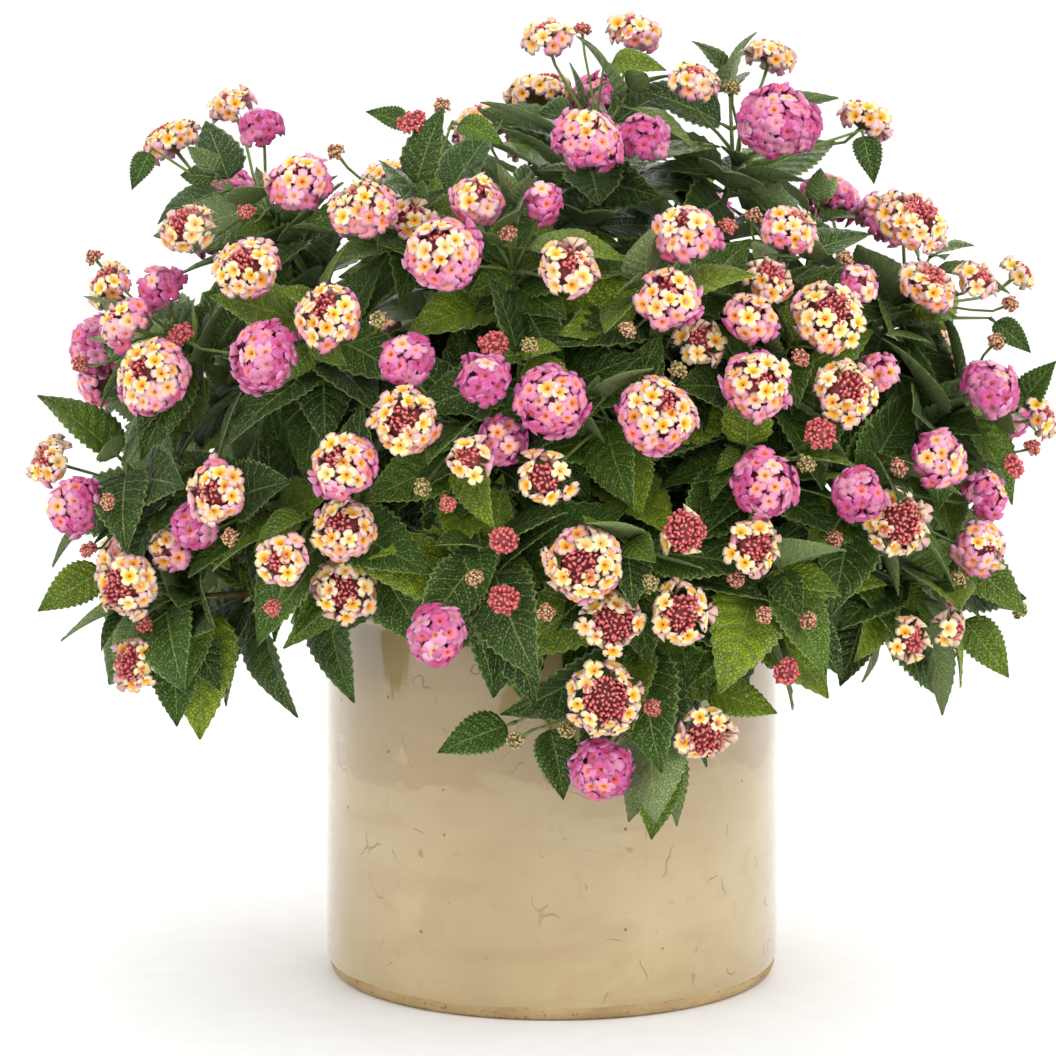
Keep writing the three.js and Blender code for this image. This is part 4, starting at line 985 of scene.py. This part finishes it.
def make_glaze():
    """Cloudy cream glaze with painted shade and reflection of the leaves over its upper part, and with chips,
    specks and hairline scratches.
    """
    p = Paint("glaze", Specular_IOR_Level=0.5, Coat_Weight=0.8, Coat_Roughness=0.06)
    cloud = p.noise(9, 4)
    swirl = p.noise(2.6, 8, p.stretched(6, 6, 17), distortion=1.2)
    ragged_shade_line = p.times(p.noise(1.7, 5, p.stretched(11, 11, 20), distortion=0.8), 90 * MM)
    high = p.calc("ADD", p.apart("XYZ", "Vector", p.place)["Z"], ragged_shade_line)
    chip = p.calc("MAXIMUM", p.spots(46, 0, 0.84, 0.075, 0.03), p.spots(150, 1, 0.9, 0.16, 0.08))
    hair = p.fade(p.calc("ABSOLUTE", p.calc("SUBTRACT", p.noise(34, 2), 0.5)), 0.012, 0.0)
    scratch = p.times(p.times(hair, p.fade(p.noise(75, 1), 0.55, 0.63)), p.fade(p.noise(11, 2), 0.42, 0.56))
    colour = p.layers(
        p.ramp(cloud, {0.3: "ac956a", 0.55: "baa479", 0.75: "c7b38a"}),
        (p.fade(swirl, 0.42, 0.68, 0.0, 0.3), "a2865a"),
        (p.fade(p.noise(120, 3), 0.6, 0.75, 0.0, 0.3), "ac9062"),
        # painted shade and reflection of the foliage: darker above a ragged line near the top
        (p.fade(high, 152 * MM, 158 * MM, 0.0, 0.5), "9a8054"),
        (p.times(scratch, 0.7), "82623c"),
        (p.times(chip, 0.85), "704c2e"))
    dip = p.times(p.calc("MAXIMUM", scratch, chip), -0.6)
    relief = p.calc("ADD", p.times(p.noise(26, 3), 0.6), p.times(swirl, 0.9))
    roughness = p.calc("MAXIMUM", p.fade(cloud, 0.2, 0.8, 0.12, 0.24), p.times(chip, 0.8))
    p.finish(colour, roughness, p.calc("ADD", relief, dip), 0.4, 1.2 * MM)


def make_clay():
    p = Paint("bare_clay", Specular_IOR_Level=0.3)
    grit, stain = p.noise(420, 4), p.noise(30, 3)
    clay = p.ramp(stain, {0.3: "a0845c", 0.7: "c0a67a"})
    colour = p.blend(p.fade(grit, 0.58, 0.7, 0.0, 0.7), clay, "5c422a")
    p.finish(colour, p.fade(stain, 0.2, 0.8, 0.75, 0.9), grit, 0.6, 0.4 * MM)


def make_soil():
    p = Paint("potting_soil", Specular_IOR_Level=0.25)
    crumb, damp = p.noise(320, 5), p.noise(40, 2)
    earth = p.ramp(crumb, {0.3: "1c140f", 0.55: "34261c", 0.75: "54402e"})
    colour = p.blend(p.fade(damp, 0.4, 0.7, 0.0, 0.4), earth, "1e1611")
    p.finish(colour, p.fade(damp, 0.3, 0.7, 0.8, 0.95), crumb, 0.9, 1.2 * MM)


def make_crumb():
    p = Paint("soil_crumb", Specular_IOR_Level=0.25)
    grain = p.noise(800, 3)
    dark = p.ramp(p.tone, {0: "221812", 0.6: "423022", 1: "684c32"})
    pale = p.ramp(grain, {0.3: "c4beb0", 0.7: "e8e4da"})
    p.finish(p.blend(p.x, dark, pale), p.fade(grain, 0.2, 0.8, 0.75, 0.95), grain, 0.5, 0.5 * MM)


for make in (make_leaf, make_petal, make_bud, make_bark, make_glaze, make_clay, make_soil, make_crumb):
    make()

# ---------- what the frame holds ----------
shapes = {name: Shape(name) for name in sorted(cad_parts)}
branches = {name: shape for name, shape in shapes.items() if name.startswith("branch_")}
trusses = {name: shape for name, shape in shapes.items() if name.startswith("truss_")}
heads = {name: read_heads(shape) for name, shape in trusses.items()}
leaves = {name: read_leaves(shape) for name, shape in branches.items()}
leaf_corners = {name: set().union(*(leaf.own for leaf in group)) for name, group in leaves.items()}
rings = {name: stem_rings(shape, leaf_corners[name]) for name, shape in branches.items()}
hubs = {name: hub_of(trusses[name], group) for name, group in heads.items()}
carriers = {name: min(branches, key=lambda b: norm(branches[b].points - foot, axis=1).min())
            for name, (foot, _) in hubs.items()}
print("heads", sum(map(len, heads.values())), "leaves", sum(map(len, leaves.values())))

all_heads = [head for group in heads.values() for head in group]
places = np.array([head.at for head in all_heads])
low, high = places.min(axis=0), places.max(axis=0)
canopy_middle, canopy_size = (low + high) / 2, (high - low) / 2
room = Room(all_heads)
grown = {name: [] for name in branches}  # (leaf, form, tone) for each leaf of a branch
shoots = {name: [] for name in branches}  # the foot and tip of each young side shoot of a branch

# ---------- growing more leaves ----------
CROSSED = 3  # a leaf with more faults than this isn't grown
INNER = 0.82  # leaves within this share of the canopy's size are drawn with fewer faces
LONG = 42 * MM  # shorter leaves are too
ROLL = 30  # degrees: how much leaves roll about their midribs
DROOP = ([0.12, 0.22, 0.4], [0.75, 0.4, 0.1])  # by a leaf's height: low ones hang down more
DROOP_RANGE = (-0.1, 0.5)  # what a leaf hangs down more than usual
SHUFFLE = [  # tried where a leaf would cross something: more turn, more tilt and a share of its length
    (0, 0, 1), (25, 0, 1), (-25, 0, 1), (0, 18, 0.9), (0, -16, 0.9), (45, 5, 0.8), (-45, 5, 0.8), (0, 0, 0.7),
]
TONES = {"fresh": (0.6, 1.0), "old": (0.0, 0.45)}  # a leaf's colour, from 0, dark, to 1, a yellow green
FRESH = Named(frame=0.3, shoot=0.45, stem=0.12, axil=0.35, outline=0.4)  # shares of fresh leaves
SHOOT = Named(
    length=27 * MM, lean=radians(24), radius=1.0 * MM, rises=0.35, low=1.25,
    upright=(0.6, 0.95), tall=1.55,
    pairs=[(0.45, 56, 52 * MM), (0.8, 42, 42 * MM), (1.0, 20, 24 * MM)],  # share of its length, tilt, leaf
)
# The pairs of leaves below a truss: how far down in mm, tilt, length in mm and the share of fresh ones.
HUB_PAIRS = [(12, 62, 60, 0.2), (4, 50, 46, 0.2), (-5, 38, 24, 0.8)]
STEM_PAIR = Named(tilt=(52, 75), length=(50, 70))  # length in mm
AXIL = Named(count=2, size=(0.45, 0.7), tilt=40, out=2 * MM)  # small leaves beside a larger one

# Leaves that stand out at the photograph's outline and before the crock: the pixels of their feet and tips.
OUTLINE = {
    "far_left": ((104, 396), (22, 430)), "left": ((112, 566), (38, 613)),
    "low_left": ((172, 636), (180, 727)), "left_corner": ((182, 622), (222, 690)),
    "crock_left": ((352, 606), (384, 684)), "hanging_left": ((516, 722), (438, 754)),
    "hanging_narrow": ((548, 720), (567, 800)), "hanging": ((668, 746), (648, 840)),
    "over_crock": ((628, 622), (668, 706)), "crock_right": ((700, 690), (778, 714)),
    "right_corner": ((790, 610), (843, 678)), "low_right": ((866, 608), (843, 688)),
    "right_low": ((958, 612), (1007, 680)), "right": ((950, 552), (1027, 612)),
    "far_right": ((1016, 412), (1055, 360)), "right_high": ((990, 318), (1030, 354)),
    "top": ((604, 64), (666, 72)), "top_left": ((452, 122), (506, 143)),
    "top_bud": ((414, 128), (366, 112)), "high_left": ((152, 148), (133, 190)),
    "high_right": ((862, 130), (872, 184)),
}
NEARER = 0.3  # how much such a leaf comes towards the camera, of what it spans
ASIDE = 75 * MM  # how far its foot may be from the nearest stem
BEHIND = 60 * MM  # stems further back than this carry none


def leaf_tone(rng, fresh):
    """A leaf's colour. `fresh` is the share of fresh ones."""
    return float(rng.uniform(*TONES["fresh" if rng.uniform() < fresh else "old"]))


def try_leaf(branch, at, axis, turn, tilt, length, rng, fresh):
    """Grows the variant of a leaf that crosses least, unless all cross too much."""
    best = None
    roll = radians(rng.normal(0, ROLL))
    droop = float(np.interp(at[2], *DROOP)) + rng.uniform(*DROOP_RANGE)
    for more_turn, more_tilt, scale in SHUFFLE:
        turns = radians(turn + more_turn), radians(tilt + more_tilt)
        leaf = sprout(at, axis, *turns, length * scale, droop, roll)
        faults = room.faults(leaf)
        if best is None or faults < best[0]:
            best = (faults, leaf)
        if faults == 0:
            break
    faults, leaf = best
    if faults <= CROSSED:
        middle = leaf.at + leaf.way * 0.55 * leaf.length
        outer = norm((middle - canopy_middle) / canopy_size) > INNER
        grow(branch, leaf, LARGE if outer and leaf.length > LONG else SMALL, rng, fresh)


def grow(branch, leaf, form, rng, fresh):
    room.keep(leaf)
    grown[branch].append((leaf, form, leaf_tone(rng, fresh)))


def side_shoot(branch, foot, axis, group, rng):
    """A short young shoot beside a truss's stalks, where most room is left, with leaves in pairs."""
    ways = unit(np.array([head.at - foot for head in group]))
    leaning = turned(axis, flat(np.array([0.2, 0.9, 0.4]), axis), SHOOT.lean)
    options = [turned(leaning, axis, turn) for turn in np.radians(np.arange(0, 360, 30))]
    way = min(options, key=lambda option: (ways @ option).max())
    taller = np.interp(axis[2], SHOOT.upright, (1, SHOOT.tall))
    tip = foot + way * SHOOT.length * taller * rng.uniform(0.8, 1.2)
    shoots[branch].append((foot, tip))
    start = rng.uniform(0, 180)
    longer = SHOOT.low if axis[2] < SHOOT.rises else 1
    for pair, (share, tilt, length) in enumerate(SHOOT.pairs):
        at = foot + (tip - foot) * share
        for side in (0, 180):
            turn = start + 90 * pair + side
            try_leaf(branch, at, way, turn, tilt, length * longer, rng, FRESH.shoot)


def seen_at(pixel, depth):
    """The place on the upright plane y = depth that the photograph shows at a pixel."""
    right, down = ((p / PHOTO_SIDE - 0.5) * SENSOR / LENS for p in pixel)
    c, s = cos(LOOK_DOWN), sin(LOOK_DOWN)
    way = np.array([right, c - down * s, -s - down * c])
    return EYE + way * (depth - EYE[1]) / way[1]


def leaf_between(at, tip):
    """A leaf from foot to tip that faces up and forward. Its arch makes up for how far it is turned up."""
    way = unit(tip - at)
    out = flat(0.6 * UP + 0.8 * FORWARD, way)
    rise = atan(LEAF.arch)
    c, s = cos(rise), sin(rise)
    length = norm(tip - at) * c
    return Named(at=at, way=c * way + s * out, face=c * out - s * way, length=length)


def outline_leaf(foot, tip, joints, rng):
    """Grows a leaf at the end of a thin shoot from the stem nearest to its foot, if there is room for it."""
    away = [norm(root - seen_at(foot, root[1])) + 0.15 * max(0, root[1]) for root, _ in joints]
    root, branch = joints[int(np.argmin(away))]
    at = seen_at(foot, root[1])
    span = norm(seen_at(tip, at[1]) - at)
    leaf = leaf_between(at, seen_at(tip, at[1] - NEARER * span))
    if min(away) < ASIDE and room.faults(leaf) <= 2 * CROSSED:
        shoots[branch].append((root, at))
        grow(branch, leaf, LARGE, rng, FRESH.outline)


def clear_of_crock(at):
    """Whether a place is outside the crock or above its rim."""
    return hypot(at[0], at[1]) > POT.radius + 8 * MM or at[2] > POT.height + 8 * MM


for n, (name, group) in enumerate(leaves.items()):
    for k, leaf in enumerate(group):
        grow(name, leaf, LARGE, draws(1, n, k), FRESH.frame)

joints = [(foot, carriers[name]) for name, (foot, _) in hubs.items()]
joints += [(at, name) for name in branches for at, _ in rings[name]]
joints = [(at, branch) for at, branch in joints if at[1] < BEHIND and clear_of_crock(at)]
for n, (foot, tip) in enumerate(OUTLINE.values()):
    outline_leaf(foot, tip, joints, draws(8, n))

for n, (name, (foot, axis)) in enumerate(hubs.items()):
    rng = draws(2, n)
    side_shoot(carriers[name], foot, axis, heads[name], rng)
    start = rng.uniform(0, 180)
    for pair, (down, tilt, length, fresh) in enumerate(HUB_PAIRS):
        for side in (0, 180):
            size = length * MM * rng.uniform(0.85, 1.15)
            at = foot - axis * down * MM
            try_leaf(carriers[name], at, axis, start + 90 * pair + side, tilt, size, rng, fresh)

for n, name in enumerate(branches):
    for k, (at, axis) in enumerate(rings[name]):
        rng = draws(6, n, k)
        start = rng.uniform(0, 180)
        for side in (0, 180):
            tilt, size = rng.uniform(*STEM_PAIR.tilt), rng.uniform(*STEM_PAIR.length) * MM
            try_leaf(name, at, axis, start + side, tilt, size, rng, FRESH.stem)

for n, (name, group) in enumerate(leaves.items()):
    for k, leaf in enumerate(group):
        rng = draws(4, n, k)
        axis = unit(leaf.way * 0.6 + leaf.face * 0.8)
        for _ in range(AXIL.count):
            size = leaf.length * rng.uniform(*AXIL.size)
            at = leaf.at + leaf.face * AXIL.out
            try_leaf(name, at, axis, rng.uniform(0, 360), AXIL.tilt, size, rng, FRESH.axil)
print("leaves grown", sum(map(len, grown.values())))

# ---------- the plant ----------
WOODY = ([0.17, 0.27], [1, 0])  # by height, less near the outside: where stems are brown
for n, (name, shape) in enumerate(branches.items()):
    piece = Piece()
    points, faces = rounded(shape, leaf_corners[name])
    wood = np.interp(points[:, 2] - 0.3 * np.hypot(points[:, 0], points[:, 1]), *WOODY)
    piece.add(points, faces, "bark", np.stack([wood, 0 * wood, 0 * wood], 1))
    for foot, tip in shoots[name]:
        radii = SHOOT.radius * np.array([1.2, 1.0, 0.6])
        piece.add(*tube([foot, (foot + tip) / 2, tip], radii, 6), "bark")
    for k, (leaf, form, tone) in enumerate(grown[name]):
        add_leaf(piece, leaf, form, tone, 1000 * n + k)
    piece.build(f"{name}_leafy", "leafy_stems", name)

for n, (name, group) in enumerate(heads.items()):
    piece = Piece()
    add_stalks(piece, *hubs[name], group)
    for k, head in enumerate(group):
        add_head(piece, head, 100 * n + k)
    piece.build(f"{name}_flowers", "flower_heads", name)

build_pot()
build_soil()


# ---------- stage, light and camera ----------
MIDDLE = Vector((0, 0, 0.25))


def build_backdrop():
    """A floor that curves up into a wall behind."""
    near, far, bend, top, wide = -8.0, 1.6, 1.0, 3.5, 8.0
    turns = np.radians(np.linspace(6, 90, 15))
    line = [(near, 0.0), (far, 0.0)]
    line += [(far + bend * sin(turn), bend - bend * cos(turn)) for turn in turns]
    line += [(far + bend, top)]
    points = [(x, y, z) for y, z in line for x in (-wide, wide)]
    faces = [(2 * k, 2 * k + 1, 2 * k + 3, 2 * k + 2) for k in range(len(line) - 1)]
    mesh = bpy.data.meshes.new("backdrop")
    mesh.from_pydata(points, [], faces)
    mesh.polygons.foreach_set("use_smooth", [True] * len(faces))
    paint = Paint("paper_backdrop", Specular_IOR_Level=0.2)
    fibre = paint.noise(60, 3)
    tint = paint.ramp(fibre, {0.3: "f7f7f7", 0.7: "fafafa"})
    paint.finish(tint, paint.fade(fibre, 0.2, 0.8, 0.85, 0.95), fibre, 0.05, 0.2 * MM)
    mesh.materials.append(paint.material)
    placed("backdrop", mesh)


def softbox(name, at, size, power):
    """A rectangular lamp that shines towards the middle of the plant and crock."""
    lamp = bpy.data.lights.new(name, "AREA")
    lamp.shape, lamp.size, lamp.size_y, lamp.energy = "RECTANGLE", *size, power
    holder = placed(name, lamp)
    holder.location = at
    holder.rotation_euler = (MIDDLE - Vector(at)).to_track_quat("-Z", "Y").to_euler()


def build_light():
    world = bpy.data.worlds.new("studio")
    world.use_nodes = True
    world.node_tree.nodes["Background"].inputs["Color"].default_value = (1, 1, 1, 1)
    world.node_tree.nodes["Background"].inputs["Strength"].default_value = 1.06
    bpy.context.scene.world = world
    softbox("key", (1.2, -1.3, 1.6), (1.6, 1.6), 18)
    softbox("fill", (-1.5, -1.0, 1.1), (1.2, 1.2), 6)
    softbox("rear", (0.2, 1.4, 1.5), (1.4, 0.8), 12)


def build_camera():
    data = bpy.data.cameras.new("camera")
    data.lens = LENS
    data.sensor_width = SENSOR
    data.clip_start = 0.05
    camera = placed("camera", data)
    camera.location = EYE
    camera.rotation_euler = (pi / 2 - LOOK_DOWN, 0, 0)
    bpy.context.scene.camera = camera


build_backdrop()
build_light()
build_camera()
bpy.context.scene.view_settings.view_transform = "Standard"
